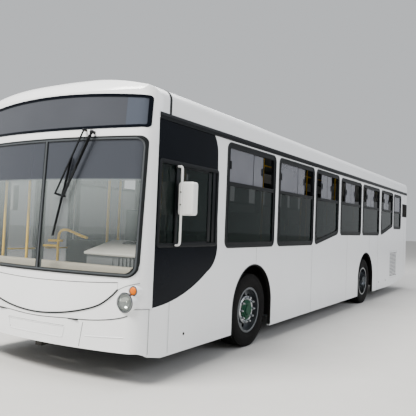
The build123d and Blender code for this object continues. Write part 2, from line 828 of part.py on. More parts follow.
with BuildPart() as rear_pane:
    with BuildSketch(front_plane(tail_end_x + 8)):
        with BuildLine():
            Polyline((-rear_pane_half, rear_pane_low_z), (rear_pane_half, rear_pane_low_z),
                     (rear_pane_half, rear_pane_top_z), (-rear_pane_half, rear_pane_top_z), close=True)
        rear_face = make_face()
        fillet(rear_face.vertices(), rear_pane_r)
    extrude(amount=screen_t)
finish(rear_pane, "rear_pane")

with BuildPart() as tail_lamps:
    for side in (-1, 1):
        for z in tail_lamp_zs:
            bar_x(side * lamp_column_y, z, tail_end_x - 2, tail_end_x + shell_t, tail_lamp_r)
finish(tail_lamps, "tail_lamps")

# Engine lid, hung from two pivots at its upper edge
pivot_inset = 8
pivot_r = 6
lid_t = 30
lid_slot_pitch = (620, 40)
lid_slots = (2, 13)
lid_slot = (540, 16)
with BuildPart() as engine_lid:
    block(tail_end_x, tail_end_x + lid_t, -lid_half, lid_half, lid_low_z, lid_top_z)
    with BuildSketch(front_plane(tail_end_x)) as lid_openings:
        with Locations((0, (lid_low_z + lid_top_z) / 2 - 60)):
            with GridLocations(*lid_slot_pitch, *lid_slots):
                Rectangle(*lid_slot)
    extrude(lid_openings.sketch, amount=lid_t, mode=Mode.SUBTRACT)
    for side in (-1, 1):
        bar_y(tail_end_x + pivot_inset, lid_top_z - pivot_inset, side * (lid_half - 30),
              side * (lid_half + lid_gap - touch_gap), pivot_r)
finish(engine_lid, "engine_lid")

# Radiator door in the left side, hung from two pivots at its front edge
grille_pitch = (97, 36)
grille_slots = (7, 17)
grille_slot = (80, 20)
with BuildPart() as radiator_door:
    block(radiator_x0, radiator_x1, half_width - lid_t, half_width, radiator_z0, radiator_z1)
    with BuildSketch(side_plane(half_width)) as grille_openings:
        with Locations(((radiator_x0 + radiator_x1) / 2, (radiator_z0 + radiator_z1) / 2)):
            with GridLocations(*grille_pitch, *grille_slots):
                Rectangle(*grille_slot)
    extrude(grille_openings.sketch, amount=lid_t, mode=Mode.SUBTRACT)
    post(radiator_x1 - pivot_inset, half_width - pivot_inset, radiator_z0 - lid_gap + touch_gap,
         radiator_z0 + 30, pivot_r)
    post(radiator_x1 - pivot_inset, half_width - pivot_inset, radiator_z1 - 30,
         radiator_z1 + lid_gap - touch_gap, pivot_r)
finish(radiator_door, "radiator_door")


# Door leaves: each hangs on an upright post at its doorway's edge and swings inwards
door_y = door_t / 2 - half_width + 2
door_low_z = low_floor_z + door_edge_gap
for name, rear, front in door_rows:
    middle = (rear + front) / 2
    for leaf, edge, toward in (("a", front, -1), ("b", rear, 1)):
        post_x = edge + toward * (door_edge_gap + door_t / 2)
        free_x = middle - toward * door_edge_gap
        with BuildPart() as door_leaf:
            block(post_x, free_x, door_y - door_t / 2, door_y + door_t / 2, door_low_z,
                  door_top_z - door_edge_gap)
            post(post_x, door_y, door_low_z, door_top_z - door_edge_gap, door_t / 2)
            post(post_x, door_y, low_floor_z + touch_gap, door_top_z - touch_gap, door_pivot_r)
            pane_x0 = post_x + toward * door_frame_w
            pane_x1 = free_x - toward * door_frame_w
            pane_z0 = door_low_z + 2 * door_frame_w
            pane_z1 = door_top_z - 2 * door_frame_w
            block(pane_x0, pane_x1, door_y - door_t, door_y + door_t, pane_z0, pane_z1, Mode.SUBTRACT)
            shrink = toward * touch_gap
            block(pane_x0 + shrink, pane_x1 - shrink, door_y - door_glass_t / 2, door_y + door_glass_t / 2,
                  pane_z0 + touch_gap, pane_z1 - touch_gap)
        finish(door_leaf, f"door_{name}_{leaf}")

# Engine and gearbox as one plain block at the rear
with BuildPart() as engine_block:
    block(-5750, -4650, -rail_y, rail_y, 420, high_rail_z[0])
    block(-5600, -5000, -330, 330, high_rail_z[0], 1300)
finish(engine_block, "engine_block")

# Front axle: a dropped beam with a yoke at each end that holds a kingpin
beam_half = 50
beam_low_z = 150
beam_top_z = 245
kingpin_r = 22
yoke_low_z = (375, 415)
yoke_top_z = (545, 585)
web_y = (850, 885)
pad_half = 60
with BuildPart() as front_axle:
    x = front_axle_x
    block(x - beam_half, x + beam_half, -web_y[1], web_y[1], beam_low_z, beam_top_z)
    for side in (-1, 1):
        block(x - beam_half, x + beam_half, side * web_y[0], side * web_y[1], beam_low_z, yoke_top_z[1])
        for z0, z1 in (yoke_low_z, yoke_top_z):
            block(x - beam_half, x + beam_half, side * web_y[0], side * kingpin_y, z0, z1)
            post(x, side * kingpin_y, z0, z1, beam_half)
        post(x, side * kingpin_y, yoke_low_z[0], yoke_top_z[1], kingpin_r)
        block(x - pad_half, x + pad_half, side * (rail_y - rail_w / 2), side * (rail_y + rail_w / 2),
              beam_top_z, low_rail_z[0])
finish(front_axle, "front_axle")

# Steering knuckles: a sleeve on the kingpin with a spindle for the wheel
pin_clearance = 0.05
spindle_r = 35
sleeve_r = 48
knuckle_z = (yoke_low_z[1] + touch_gap, yoke_top_z[0] - touch_gap)
disc_y = tyre_y + 40
spindle_end_y = disc_y + 20
for name, side in (("left", 1), ("right", -1)):
    with BuildPart() as knuckle:
        bar_y(front_axle_x, hub_z, side * kingpin_y, side * spindle_end_y, spindle_r)
        post(front_axle_x, side * kingpin_y, *knuckle_z, sleeve_r)
        post(front_axle_x, side * kingpin_y, *knuckle_z, kingpin_r + pin_clearance, Mode.SUBTRACT)
    finish(knuckle, f"knuckle_{name}")

# Rear axle: tube, differential and two spring seats under the raised rails
axle_tube_r = 62
diff_r = 175
twin_centre_y = tyre_y - twin_spacing / 2
rear_disc_y = twin_centre_y
rear_spindle_end_y = rear_disc_y + 90
with BuildPart() as rear_axle:
    bar_y(rear_axle_x, hub_z, -housing_y + 20, housing_y - 20, axle_tube_r)
    bar_y(rear_axle_x, hub_z, -rear_spindle_end_y, rear_spindle_end_y, spindle_r)
    with Locations((rear_axle_x, 0, hub_z)):
        Sphere(diff_r)
    for side in (-1, 1):
        block(rear_axle_x - pad_half, rear_axle_x + pad_half, side * (rail_y - rail_w / 2),
              side * (rail_y + rail_w / 2), hub_z, high_rail_z[0])
finish(rear_axle, "rear_axle")


# Tyre outline once round from one bead, then back through the bore: share of the half width, radius
tyre_sides = 48
bore_r = (bead_r + touch_gap) / cos(radians(180 / tyre_sides))
tyre_rows = [(-0.72, 292), (-1, 375), (-0.94, 440), (-0.72, wheel_r), (0.72, wheel_r), (0.94, 440),
             (1, 375), (0.72, 292), (0.72, bore_r), (-0.72, bore_r)]


def tyre_ring(wheel_x, y, radius):
    """Corners of a many-sided ring round the axle at one Y, with one of them straight down."""
    turns = [radians(360 * k / tyre_sides) for k in range(tyre_sides)]
    return [Vector(wheel_x + radius * sin(turn), y, hub_z - radius * cos(turn)) for turn in turns]


def tyre(wheel_x, centre_y):
    """A plain tyre of flat facets, so that it stays light, with a many-sided bore."""
    rings = [tyre_ring(wheel_x, centre_y + share * tyre_w / 2, radius) for share, radius in tyre_rows]
    facets = []
    for near, far in zip(rings, rings[1:] + rings[:1]):
        for k in range(tyre_sides):
            facets.append(Face(Wire.make_polygon([near[k], near[k - 1], far[k - 1], far[k]])))
    return Solid(Shell(facets))


def rim(wheel_x, centre_y):
    """A rim barrel with a flange at each edge."""
    w = 0.8 * tyre_w / 2
    for y in (centre_y - w, centre_y + w):
        bar_y(wheel_x, hub_z, y - rim_t / 2, y + rim_t / 2, flange_r)
    bar_y(wheel_x, hub_z, centre_y - w, centre_y + w, bead_r)


hub_r = 105
hub_cap_r = 78
nut_ring_r = 168
hand_hole_r = 34
hand_hole_ring_r = 205
hand_holes = 10
bore_clearance = 0.05
for end, wheel_x in (("front", front_axle_x), ("rear", rear_axle_x)):
    for name, side in (("left", 1), ("right", -1)):
        out_y = side * tyre_y
        in_y = side * (tyre_y - twin_spacing)
        centres = [out_y] if end == "front" else [out_y, in_y]
        plate_y = side * (disc_y if end == "front" else rear_disc_y)
        hub_in_y = side * (tyre_y - 60) if end == "front" else side * (tyre_y - twin_spacing - 40)
        hub_out_y = plate_y + side * (60 if end == "front" else 150)
        end_y = side * (spindle_end_y if end == "front" else rear_spindle_end_y)
        with BuildPart() as tyres:
            for centre_y in centres:
                add(tyre(wheel_x, centre_y))
        finish(tyres, f"tyre_{end}_{name}")
        with BuildPart() as rims:
            for centre_y in centres:
                rim(wheel_x, centre_y)
            for centre_y in centres:
                bar_y(wheel_x, hub_z, centre_y - tyre_w, centre_y + tyre_w, bead_r - rim_t, Mode.SUBTRACT)
            bar_y(wheel_x, hub_z, plate_y - side * rim_t, plate_y, bead_r)
            if end == "rear":
                bar_y(wheel_x, hub_z, plate_y, plate_y - side * (twin_spacing / 2), bead_r - rim_t / 2)
                bar_y(wheel_x, hub_z, plate_y - side * rim_t, plate_y - side * (twin_spacing / 2 + 10),
                      bead_r - rim_t, Mode.SUBTRACT)
                bar_y(wheel_x, hub_z, plate_y, plate_y + side * (twin_spacing / 2), bead_r - rim_t / 2)
                bar_y(wheel_x, hub_z, plate_y, plate_y + side * (twin_spacing / 2 + 10),
                      bead_r - rim_t, Mode.SUBTRACT)
            for k in range(hand_holes):
                turn = radians(360 / hand_holes * (k + 0.5))
                hole_x = wheel_x + hand_hole_ring_r * cos(turn)
                hole_z = hub_z + hand_hole_ring_r * sin(turn)
                bar_y(hole_x, hole_z, plate_y - side * 3 * rim_t, plate_y + side * rim_t, hand_hole_r,
                      Mode.SUBTRACT)
            bar_y(wheel_x, hub_z, hub_in_y, hub_out_y, hub_r)
            bar_y(wheel_x, hub_z, hub_out_y, hub_out_y + side * 25, hub_cap_r)
            bar_y(wheel_x, hub_z, hub_in_y - side * 400, end_y + side * 5, spindle_r + bore_clearance,
                  Mode.SUBTRACT)
        finish(rims, f"rim_{end}_{name}")

# Driver's place: dashboard, seat, screen behind and steering wheel
wheel_centre = (5190, 720, 1240)
wheel_tilt = 35
column_r = 35
column_top = 45
column_end = 260
shaft_r = 15
shaft_depth = 130
shaft_clearance = 0.05
axis_tilt = radians(wheel_tilt)
wheel_dir = (-sin(axis_tilt), 0, cos(axis_tilt))
wheel_plane = Plane(origin=wheel_centre, x_dir=(cos(axis_tilt), 0, sin(axis_tilt)), z_dir=wheel_dir)
with BuildPart() as dashboard:
    block(5300, 5560, 300, 1200, low_floor_z, 1080)
    block(5560, 5740, 300, 1150, 900, 1080)
    block(5300, 5620, 420, 1140, 1080, 1190)
    with Locations(wheel_plane.offset(-(column_top + column_end) / 2)):
        Cylinder(column_r, column_end - column_top)
    with Locations(wheel_plane.offset(-(column_top + shaft_depth + 10) / 2)):
        Cylinder(shaft_r + shaft_clearance, shaft_depth + 10 - column_top, mode=Mode.SUBTRACT)
finish(dashboard, "dashboard")

with BuildPart() as driver_seat:
    block(4480, 4900, 560, 900, low_floor_z, 700)
    block(4460, 4960, 500, 960, 700, 850)
    block(4380, 4480, 520, 940, 700, 1480)
    block(4400, 4470, 620, 840, 1480, 1640)
finish(driver_seat, "driver_seat")

screen_x = 4230
with BuildPart() as driver_screen:
    block(screen_x, screen_x + 30, 260, inside_y, low_floor_z, 2150)
finish(driver_screen, "driver_screen")

with BuildPart() as steering_wheel:
    with Locations(wheel_plane):
        Torus(225, 15)
        Cylinder(column_r + 15, 40)
        Box(450, 36, 14)
        Box(36, 450, 14)
    with Locations(wheel_plane.offset(-shaft_depth / 2)):
        Cylinder(shaft_r, shaft_depth)
finish(steering_wheel, "steering_wheel")

# Passenger seats: x of the cushion's middle, floor height, sides that have a pair
seat_rows = [
    (2450, low_floor_z, (1,)), (1650, low_floor_z, (1,)), (850, low_floor_z, (1,)),
    (3500, 1110, (1, -1)), (2450, low_floor_z, (-1,)),
    (-300, high_floor_z, (1, -1)), (-950, high_floor_z, (1, -1)), (-1830, 1125, (1, -1)),
    (-2700, high_floor_z, (1, -1)), (-3400, high_floor_z, (1, -1)), (-4100, high_floor_z, (-1,)),
    (-4385, 1140, (1,)),
]
seat_w = 860
seat_d = 430
seat_back_t = 70
seat_h = 400
back_h = 560
plinth_d = 260
seat_y = inside_y - 20
with BuildPart() as seat_bases:
    for x, floor_z, sides in seat_rows:
        lift = seat_h if floor_z in (low_floor_z, high_floor_z) else 120
        wide = seat_w if lift == seat_h else 560
        for side in sides:
            y0 = side * seat_y
            y1 = side * (seat_y - wide)
            block(x - plinth_d / 2, x + plinth_d / 2, side * (seat_y - 60), side * (seat_y - wide + 60),
                  floor_z, floor_z + lift - 60)
            block(x - seat_d / 2, x + seat_d / 2, y0, y1, floor_z + lift - 60, floor_z + lift)
finish(seat_bases, "seat_bases")
with BuildPart() as seat_backs:
    for x, floor_z, sides in seat_rows:
        lift = seat_h if floor_z in (low_floor_z, high_floor_z) else 120
        wide = seat_w if lift == seat_h else 560
        for side in sides:
            y0 = side * seat_y
            y1 = side * (seat_y - wide)
            back_x = x - seat_d / 2
            block(back_x - seat_back_t, back_x, y0, y1, floor_z + lift - 60, floor_z + lift + back_h)
finish(seat_backs, "seat_backs")

# Upright poles from floor to ceiling
pole_r = 17
pole_rows = [
    (4700, -250, low_floor_z), (4245, 240, low_floor_z), (4150, -560, low_floor_z),
    (2900, 330, low_floor_z), (2900, -330, low_floor_z), (1500, -480, low_floor_z),
    (1400, 300, low_floor_z), (-60, 430, high_floor_z), (-60, -430, high_floor_z),
    (-2300, 360, high_floor_z), (-2300, -360, high_floor_z), (-3790, 360, high_floor_z),
    (-3790, -360, high_floor_z),
]
with BuildPart() as handrails:
    for x, y, floor_z in pole_rows:
        ceiling = crown_centre_z + sqrt((crown_r - roof_t) ** 2 - (abs(y) + pole_r) ** 2)
        post(x, y, floor_z, ceiling - touch_gap, pole_r)
finish(handrails, "handrails")

# Mirrors on tube arms, one each side
mirror_x = 5342
mirror_foot_right_x = 5585
mirror_tube_y = half_width + 75
mirror_tube_r = 13
mirror_low_z = 1368
mirror_top_z = 2190
mirror_w = 190
mirror_overhang = 37
mirror_d = 90
mirror_h = 350
mirror_z = 1855
for name, side in (("left", 1), ("right", -1)):
    with BuildPart() as mirror:
        base_y = side * half_width
        tube_y = side * mirror_tube_y
        post(mirror_x, tube_y, mirror_low_z, mirror_top_z, mirror_tube_r)
        foot_x = mirror_x if side > 0 else mirror_foot_right_x
        for z in (mirror_low_z, mirror_top_z):
            bar_y(foot_x, z, base_y, tube_y, mirror_tube_r)
            with Locations((mirror_x, tube_y, z)):
                Sphere(mirror_tube_r)
            if foot_x > mirror_x:
                bar_x(tube_y, z, mirror_x, foot_x, mirror_tube_r)
                with Locations((foot_x, tube_y, z)):
                    Sphere(mirror_tube_r)
        block(mirror_x - mirror_d, mirror_x, tube_y - side * mirror_overhang,
              tube_y + side * (mirror_w - mirror_overhang),
              mirror_z - mirror_h / 2, mirror_z + mirror_h / 2)
    finish(mirror, f"mirror_{name}")

# Wiper: two parallel arms on pivots above the windscreen and a blade that they carry
wiper_y = 640
wiper_z = 2485
link_dy = -105
link_dz = 25
carrier_dy = -312
carrier_dz = -655
blade_half = 410
blade_tilt = 12
wiper_reach = 35
wiper_set_back = 54
touch_y = wiper_y - 150
wiper_turn = asin(touch_y / nose_r)
wiper_lean = asin(50 / 1350)
surface_x = (nose_x - nose_r + nose_r * cos(wiper_turn) - wiper_set_back
             - (wiper_y - touch_y) * sin(wiper_turn) / cos(wiper_turn))
wiper_normal = (cos(wiper_turn) * cos(wiper_lean), sin(wiper_turn) * cos(wiper_lean), sin(wiper_lean))
wiper_plane = Plane(origin=(surface_x, wiper_y, wiper_z), x_dir=(-sin(wiper_turn), cos(wiper_turn), 0),
                    z_dir=wiper_normal)


def arm_bar(start, end, low, high, wide):
    """A flat bar in the wiper's plane, between two points across and up."""
    run = end[0] - start[0]
    rise = end[1] - start[1]
    span = sqrt(run ** 2 + rise ** 2)
    with BuildSketch(wiper_plane.offset(low)) as flat:
        with Locations(Location(((start[0] + end[0]) / 2, (start[1] + end[1]) / 2, 0),
                                (0, 0, degrees(asin(rise / span)) if run > 0 else 180 - degrees(asin(rise / span))))):
            SlotOverall(span + wide, wide)
    extrude(flat.sketch, amount=high - low)


with BuildPart() as wiper_arm:
    arm_bar((0, 0), (carrier_dy, carrier_dz), wiper_reach, wiper_reach + 14, 24)
    with BuildSketch(wiper_plane.offset(-0.8)):
        Circle(16)
    extrude(amount=wiper_reach + 2)
finish(wiper_arm, "wiper_arm")

with BuildPart() as wiper_link:
    arm_bar((link_dy, link_dz), (carrier_dy + link_dy, carrier_dz + link_dz), wiper_reach, wiper_reach + 12, 14)
    with BuildSketch(wiper_plane.offset(touch_gap)):
        with Locations((link_dy, link_dz)):
            Circle(12)
    extrude(amount=wiper_reach + 2)
finish(wiper_link, "wiper_link")

blade_run = blade_half * sin(radians(blade_tilt))
blade_rise = blade_half * cos(radians(blade_tilt))
blade_dy = carrier_dy - 30
with BuildPart() as wiper_blade:
    arm_bar((blade_dy - blade_run, carrier_dz - blade_rise), (blade_dy + blade_run, carrier_dz + blade_rise),
            8, 26, 16)
    arm_bar((carrier_dy + 10, carrier_dz), (carrier_dy + link_dy, carrier_dz + link_dz), 18, wiper_reach - touch_gap, 22)
finish(wiper_blade, "wiper_blade")
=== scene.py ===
from math import cos, pi, prod, radians, sin

import bmesh
import bpy
from mathutils import Matrix, Vector
from mathutils.bvhtree import BVHTree


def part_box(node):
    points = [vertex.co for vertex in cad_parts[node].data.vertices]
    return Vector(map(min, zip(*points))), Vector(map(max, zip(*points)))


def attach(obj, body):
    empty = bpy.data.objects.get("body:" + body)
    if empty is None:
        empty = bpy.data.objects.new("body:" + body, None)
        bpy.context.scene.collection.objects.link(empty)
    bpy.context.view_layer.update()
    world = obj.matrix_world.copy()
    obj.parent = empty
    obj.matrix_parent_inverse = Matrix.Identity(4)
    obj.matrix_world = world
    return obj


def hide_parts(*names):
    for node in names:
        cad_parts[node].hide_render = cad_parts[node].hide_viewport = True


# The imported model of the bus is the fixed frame: metres, X forward, Y to the bus's left, Z up.
# Each section below dresses the pieces that belong together, in the order of assembly.
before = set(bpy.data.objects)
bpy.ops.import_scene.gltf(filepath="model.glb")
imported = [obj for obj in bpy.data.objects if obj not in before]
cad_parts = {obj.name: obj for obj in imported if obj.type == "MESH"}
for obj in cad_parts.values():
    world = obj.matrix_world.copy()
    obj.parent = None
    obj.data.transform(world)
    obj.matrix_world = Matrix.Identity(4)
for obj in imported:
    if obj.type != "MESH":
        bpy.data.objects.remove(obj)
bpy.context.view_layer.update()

# Camera: a normal lens at head height, ahead of the left front corner and close to it.
# Its place, turn and tilt were fitted to the edges of the real bus.
CAMERA_PLACE = Vector((9.8333, 4.5496, 1.5930))
CAMERA_YAW = 3.662171
CAMERA_PITCH = 0.045680
CAMERA_ROLL = 0.037009
LENS_MM = 45.871
ahead = Vector((cos(CAMERA_YAW) * cos(CAMERA_PITCH), sin(CAMERA_YAW) * cos(CAMERA_PITCH),
                sin(CAMERA_PITCH)))
level = ahead.cross(Vector((0, 0, 1))).normalized()
upward = level.cross(ahead)
across = cos(CAMERA_ROLL) * level + sin(CAMERA_ROLL) * upward
upright = cos(CAMERA_ROLL) * upward - sin(CAMERA_ROLL) * level
lens = bpy.data.cameras.new("camera")
lens.lens = LENS_MM
lens.sensor_width = 36
lens.shift_x = -0.0618
lens.shift_y = -0.0157
camera = bpy.data.objects.new("camera", lens)
camera.matrix_world = (Matrix.Translation(CAMERA_PLACE)
                       @ Matrix((across, upright, -ahead)).transposed().to_4x4())
bpy.context.scene.collection.objects.link(camera)
bpy.context.scene.camera = camera


# Studio: a pale concrete floor, an even pale surround, and soft lamps ahead, to the left and above.
# The floor is wide enough to fill the view to its horizon.
def linear(colour):
    """An sRGB hex value as linear red, green and blue with full alpha."""
    value = int(colour, 16)
    channels = [(value >> shift & 255) / 255 for shift in (16, 8, 0)]
    return [c / 12.92 if c <= 0.04045 else ((c + 0.055) / 1.055) ** 2.4 for c in channels] + [1.0]


def surface(name, colour, roughness, metallic=0.0, specular=0.5, **sockets):
    """A material of one colour, with any other sockets of its shader set to constants."""
    made = bpy.data.materials.new(name)
    made.use_nodes = True
    constants = {"Base Color": linear(colour), "Roughness": roughness, "Metallic": metallic,
                 "Specular IOR Level": specular}
    constants |= {socket.replace("_", " "): value for socket, value in sockets.items()}
    for socket, value in constants.items():
        made.node_tree.nodes["Principled BSDF"].inputs[socket].default_value = value
    return made


def add_node(made, kind, values=None, feeds=None, drives=None, **settings):
    """Adds a node to a material: its settings, its socket values, the links that feed it, and the
    shader's sockets that its outputs drive."""
    nodes, links = made.node_tree.nodes, made.node_tree.links
    node = nodes.new(kind)
    for key, value in settings.items():
        setattr(node, key, value)
    for socket, value in (values or {}).items():
        node.inputs[socket].default_value = value
    for socket, source in (feeds or {}).items():
        links.new(source, node.inputs[socket])
    for output, socket in (drives or {}).items():
        links.new(node.outputs[output], nodes["Principled BSDF"].inputs[socket])
    return node


def mottled(name, colour, second, scale, smooth, rough, bump=0.0, depth=0.001, **constants):
    """A material with fine noise in it: two tones, a range of roughness, and relief if asked."""
    made = surface(name, colour, rough, **constants)
    place = add_node(made, "ShaderNodeTexCoord")
    noise = add_node(made, "ShaderNodeTexNoise", {"Scale": scale, "Detail": 5.0},
                     {"Vector": place.outputs["Object"]}).outputs["Fac"]
    add_node(made, "ShaderNodeMix", {"A": linear(colour), "B": linear(second)}, {"Factor": noise},
             {"Result": "Base Color"}, data_type="RGBA")
    add_node(made, "ShaderNodeMapRange",
             {"From Min": 0.3, "From Max": 0.7, "To Min": smooth, "To Max": rough}, {"Value": noise},
             {"Result": "Roughness"})
    if bump:
        add_node(made, "ShaderNodeBump", {"Strength": bump, "Distance": depth}, {"Height": noise},
                 {"Normal": "Normal"})
    return made


# Floated concrete, dry and pale: matt, with hardly any tone in it.
floated_concrete = mottled("floated_concrete", "C6C4C0", "C0BEBA", 3.0, 0.85, 0.95)
floor_mesh = bmesh.new()
bmesh.ops.create_grid(floor_mesh, x_segments=1, y_segments=1, size=90)
floor_data = bpy.data.meshes.new("studio_floor")
floor_mesh.to_mesh(floor_data)
floor_mesh.free()
floor_data.materials.append(floated_concrete)
studio_floor = bpy.data.objects.new("studio_floor", floor_data)
bpy.context.scene.collection.objects.link(studio_floor)

surround = bpy.data.worlds.new("pale_surround")
surround.use_nodes = True
surround.node_tree.nodes["Background"].inputs["Color"].default_value = linear("E4E7EA")
surround.node_tree.nodes["Background"].inputs["Strength"].default_value = 0.8
bpy.context.scene.world = surround

# name, place, aimed at, width, height, watts, colour
LAMP_ROWS = [
    ("front_softbox", (15, -3, 15), (5, 0, 1.4), 9, 5, 7000, "FFFDF8"),
    ("side_softbox", (-2, 17, 9), (-1, 0, 1), 15, 6, 1100, "EEF3FF"),
    ("rear_softbox", (-13, -11, 9), (-2, 0, 1), 10, 6, 1300, "F4F8FF"),
    ("top_softbox", (0, 0, 13), (0, 0, 0), 16, 9, 1800, "FFFFFF"),
]
for name, place, aim, wide, high, watts, colour in LAMP_ROWS:
    lamp = bpy.data.lights.new(name, "AREA")
    lamp.shape = "RECTANGLE"
    lamp.size = wide
    lamp.size_y = high
    lamp.energy = watts
    lamp.color = linear(colour)[:3]
    stand = bpy.data.objects.new(name, lamp)
    stand.location = place
    stand.rotation_mode = "QUATERNION"
    stand.rotation_quaternion = (Vector(aim) - Vector(place)).to_track_quat("-Z", "Y")
    bpy.context.scene.collection.objects.link(stand)


# Body shell: aluminium side sheets bonded to a welded frame, with moulded front, roof and rear.
# All of it is sprayed in one plain white.
def paint_nodes(finish, *nodes):
    """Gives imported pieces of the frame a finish."""
    for node in nodes:
        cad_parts[node].material_slots[0].material = finish


# Two-pack coach enamel over sheet and glass fibre: clean white, a clear gloss with a trace of
# orange peel, and a faint grey film of road dust that thickens towards the ground.
coach_enamel = surface("white_coach_enamel", "F2F3F4", 0.24, Coat_Weight=0.3, Coat_Roughness=0.08)
enamel_place = add_node(coach_enamel, "ShaderNodeTexCoord").outputs["Object"]
enamel_film = add_node(coach_enamel, "ShaderNodeTexNoise", {"Scale": 1.3, "Detail": 5, "Roughness": 0.6},
                       {"Vector": enamel_place}).outputs["Fac"]
enamel_height = add_node(coach_enamel, "ShaderNodeSeparateXYZ", None, {"Vector": enamel_place})
enamel_low = add_node(coach_enamel, "ShaderNodeMapRange",
                      {"From Min": 1.5, "From Max": 0.2, "To Min": 0.0, "To Max": 0.25},
                      {"Value": enamel_height.outputs["Z"]})
enamel_dust = add_node(coach_enamel, "ShaderNodeMath", None,
                       {0: enamel_film, 1: enamel_low.outputs["Result"]}, operation="MULTIPLY")
add_node(coach_enamel, "ShaderNodeMix", {"A": linear("F2F3F4"), "B": linear("A6A6A4")},
         {"Factor": enamel_dust.outputs[0]}, {"Result": "Base Color"}, data_type="RGBA")
add_node(coach_enamel, "ShaderNodeMapRange",
         {"From Min": 0.2, "From Max": 0.8, "To Min": 0.22, "To Max": 0.26}, {"Value": enamel_film},
         {"Result": "Roughness"})
enamel_peel = add_node(coach_enamel, "ShaderNodeTexNoise", {"Scale": 240.0, "Detail": 2.0},
                       {"Vector": enamel_place})
add_node(coach_enamel, "ShaderNodeBump", {"Strength": 0.02, "Distance": 0.0003},
         {"Height": enamel_peel.outputs["Fac"]}, {"Normal": "Normal"})
paint_nodes(coach_enamel, "left_lower_wall", "right_lower_wall", "left_window_band", "right_window_band",
            "door_headers", "roof_shell", "roof_hatches", "front_mask", "front_hatch", "front_bumper",
            "rear_mask", "rear_bumper", "engine_lid", "radiator_door")


# Roof joint: a soft black strip pressed over the seam between the roof and the front moulding.
# It is cut from the roof's own outline, so it lies on it all the way round.
def slice_of(node, corner, opposite):
    """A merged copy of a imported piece's mesh, cut down to what lies between two opposite corners."""
    shape = bmesh.new()
    shape.from_mesh(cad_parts[node].data)
    bmesh.ops.remove_doubles(shape, verts=shape.verts, dist=0.00002)
    low, high = zip(*(sorted(pair) for pair in zip(corner, opposite)))
    for axis in range(3):
        for plane_point, way in ((low, -1), (high, 1)):
            plane_way = Vector((0, 0, 0))
            plane_way[axis] = way
            bmesh.ops.bisect_plane(shape, geom=[*shape.verts, *shape.edges, *shape.faces],
                                   plane_co=plane_point, plane_no=plane_way, clear_outer=True)
    return shape


def ease(shape, geom, offset, segments, affect="EDGES"):
    """Rounds edges or corners of a mesh under work."""
    bmesh.ops.bevel(shape, geom=geom, offset=offset, offset_type="OFFSET", segments=segments,
                    profile=0.5, affect=affect, material=-1, clamp_overlap=True)


def settle(name, shape, finish, body, bevel=0.0, segments=2, sharp=40):
    """Makes a finished mesh a piece of the bus: eased edges, smooth shading, its body and finish."""
    if bevel:
        corners = [edge for edge in shape.edges
                   if edge.is_manifold and edge.calc_face_angle(0) > radians(30)]
        ease(shape, corners, bevel, segments)
    bmesh.ops.recalc_face_normals(shape, faces=shape.faces)
    for face in shape.faces:
        face.smooth = True
    for edge in shape.edges:
        edge.smooth = edge.is_manifold and edge.calc_face_angle(0) < radians(sharp)
    data = bpy.data.meshes.new(name)
    shape.to_mesh(data)
    shape.free()
    data.materials.append(finish)
    piece = bpy.data.objects.new(name, data)
    bpy.context.scene.collection.objects.link(piece)
    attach(piece, body)
    return piece


# Extruded sealing rubber: nearly black, dull, with a soft grey sheen where it turns to the light.
sealing_rubber = mottled("sealing_rubber", "101314", "1A1D1E", 60.0, 0.40, 0.55, 0.15, 0.0004, specular=0.2)
STRIP_WIDTH = 0.034
STRIP_THICKNESS = 0.004
roof_end = Vector(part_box("roof_shell")[1]).x
strip = slice_of("roof_shell", (roof_end - STRIP_WIDTH, -2, 2.69), (roof_end, 2, 4))
axis_point = Vector((0, 0, 1))
hidden = [face for face in strip.faces
          if abs(face.normal.x) > 0.5 or face.normal.dot(face.calc_center_median() - axis_point) < 0.05]
bmesh.ops.delete(strip, geom=hidden, context="FACES")
bmesh.ops.solidify(strip, geom=strip.faces[:], thickness=-STRIP_THICKNESS)
bmesh.ops.translate(strip, verts=strip.verts, vec=(STRIP_WIDTH / 2, 0, 0))
settle("roof_joint_strip", strip, sealing_rubber, "root")


# Gutter rails: black extruded aluminium along both sides of the roof, with a bead above and a drip
# lip below. The real ones are riveted through the groove between the two.
def cuboid(shape, corner, opposite):
    """Adds a plain block between two opposite corners to a mesh under work."""
    corner, opposite = Vector(corner), Vector(opposite)
    size = [abs(length) for length in opposite - corner]
    place = Matrix.Translation((corner + opposite) / 2) @ Matrix.Diagonal((*size, 1))
    return bmesh.ops.create_cube(shape, size=1, matrix=place)["verts"]


# Powder coat on aluminium: black with a faint grey, a fine even texture and a dull sheen.
powder_coat = mottled("black_powder_coat", "0D0F11", "14171A", 350.0, 0.36, 0.46, 0.2, 0.0003, specular=0.15)
# Outer face of the side panels
SKIN_Y = 1.275
LIP_HEIGHT = 0.009
gutter_low, gutter_high = (Vector(corner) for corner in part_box("gutter_rails"))
gutter_low.z -= 0.006
gutter_high.z += 0.006
gutter = bmesh.new()
for side in (1, -1):
    for low_z, high_z, reach in ((gutter_low.z, gutter_low.z + LIP_HEIGHT, gutter_high.y),
                                 (gutter_low.z, gutter_high.z + 0.028, gutter_high.y - 0.007),
                                 (gutter_high.z - LIP_HEIGHT, gutter_high.z, gutter_high.y)):
        cuboid(gutter, (gutter_low.x, side * (SKIN_Y - 0.001), low_z), (gutter_high.x, side * reach, high_z))
gutter_rails = settle("gutter_beads", gutter, powder_coat, "root", bevel=0.0015)
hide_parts("gutter_rails")


# Driver's window: a black panel with a curved rear edge, bonded to the side, and in it a window in
# a raised black frame with a fixed front pane and a sliding rear one.
def merge_into(target, shape):
    """Adds a mesh under work to another and frees it."""
    joined = bpy.data.meshes.new("joined")
    shape.to_mesh(joined)
    shape.free()
    target.from_mesh(joined)
    bpy.data.meshes.remove(joined)


def inset(shape, face, width):
    """Draws a smaller outline inside a face, which stays in the middle."""
    bmesh.ops.inset_region(shape, faces=[face], thickness=width, use_boundary=True, use_even_offset=True)


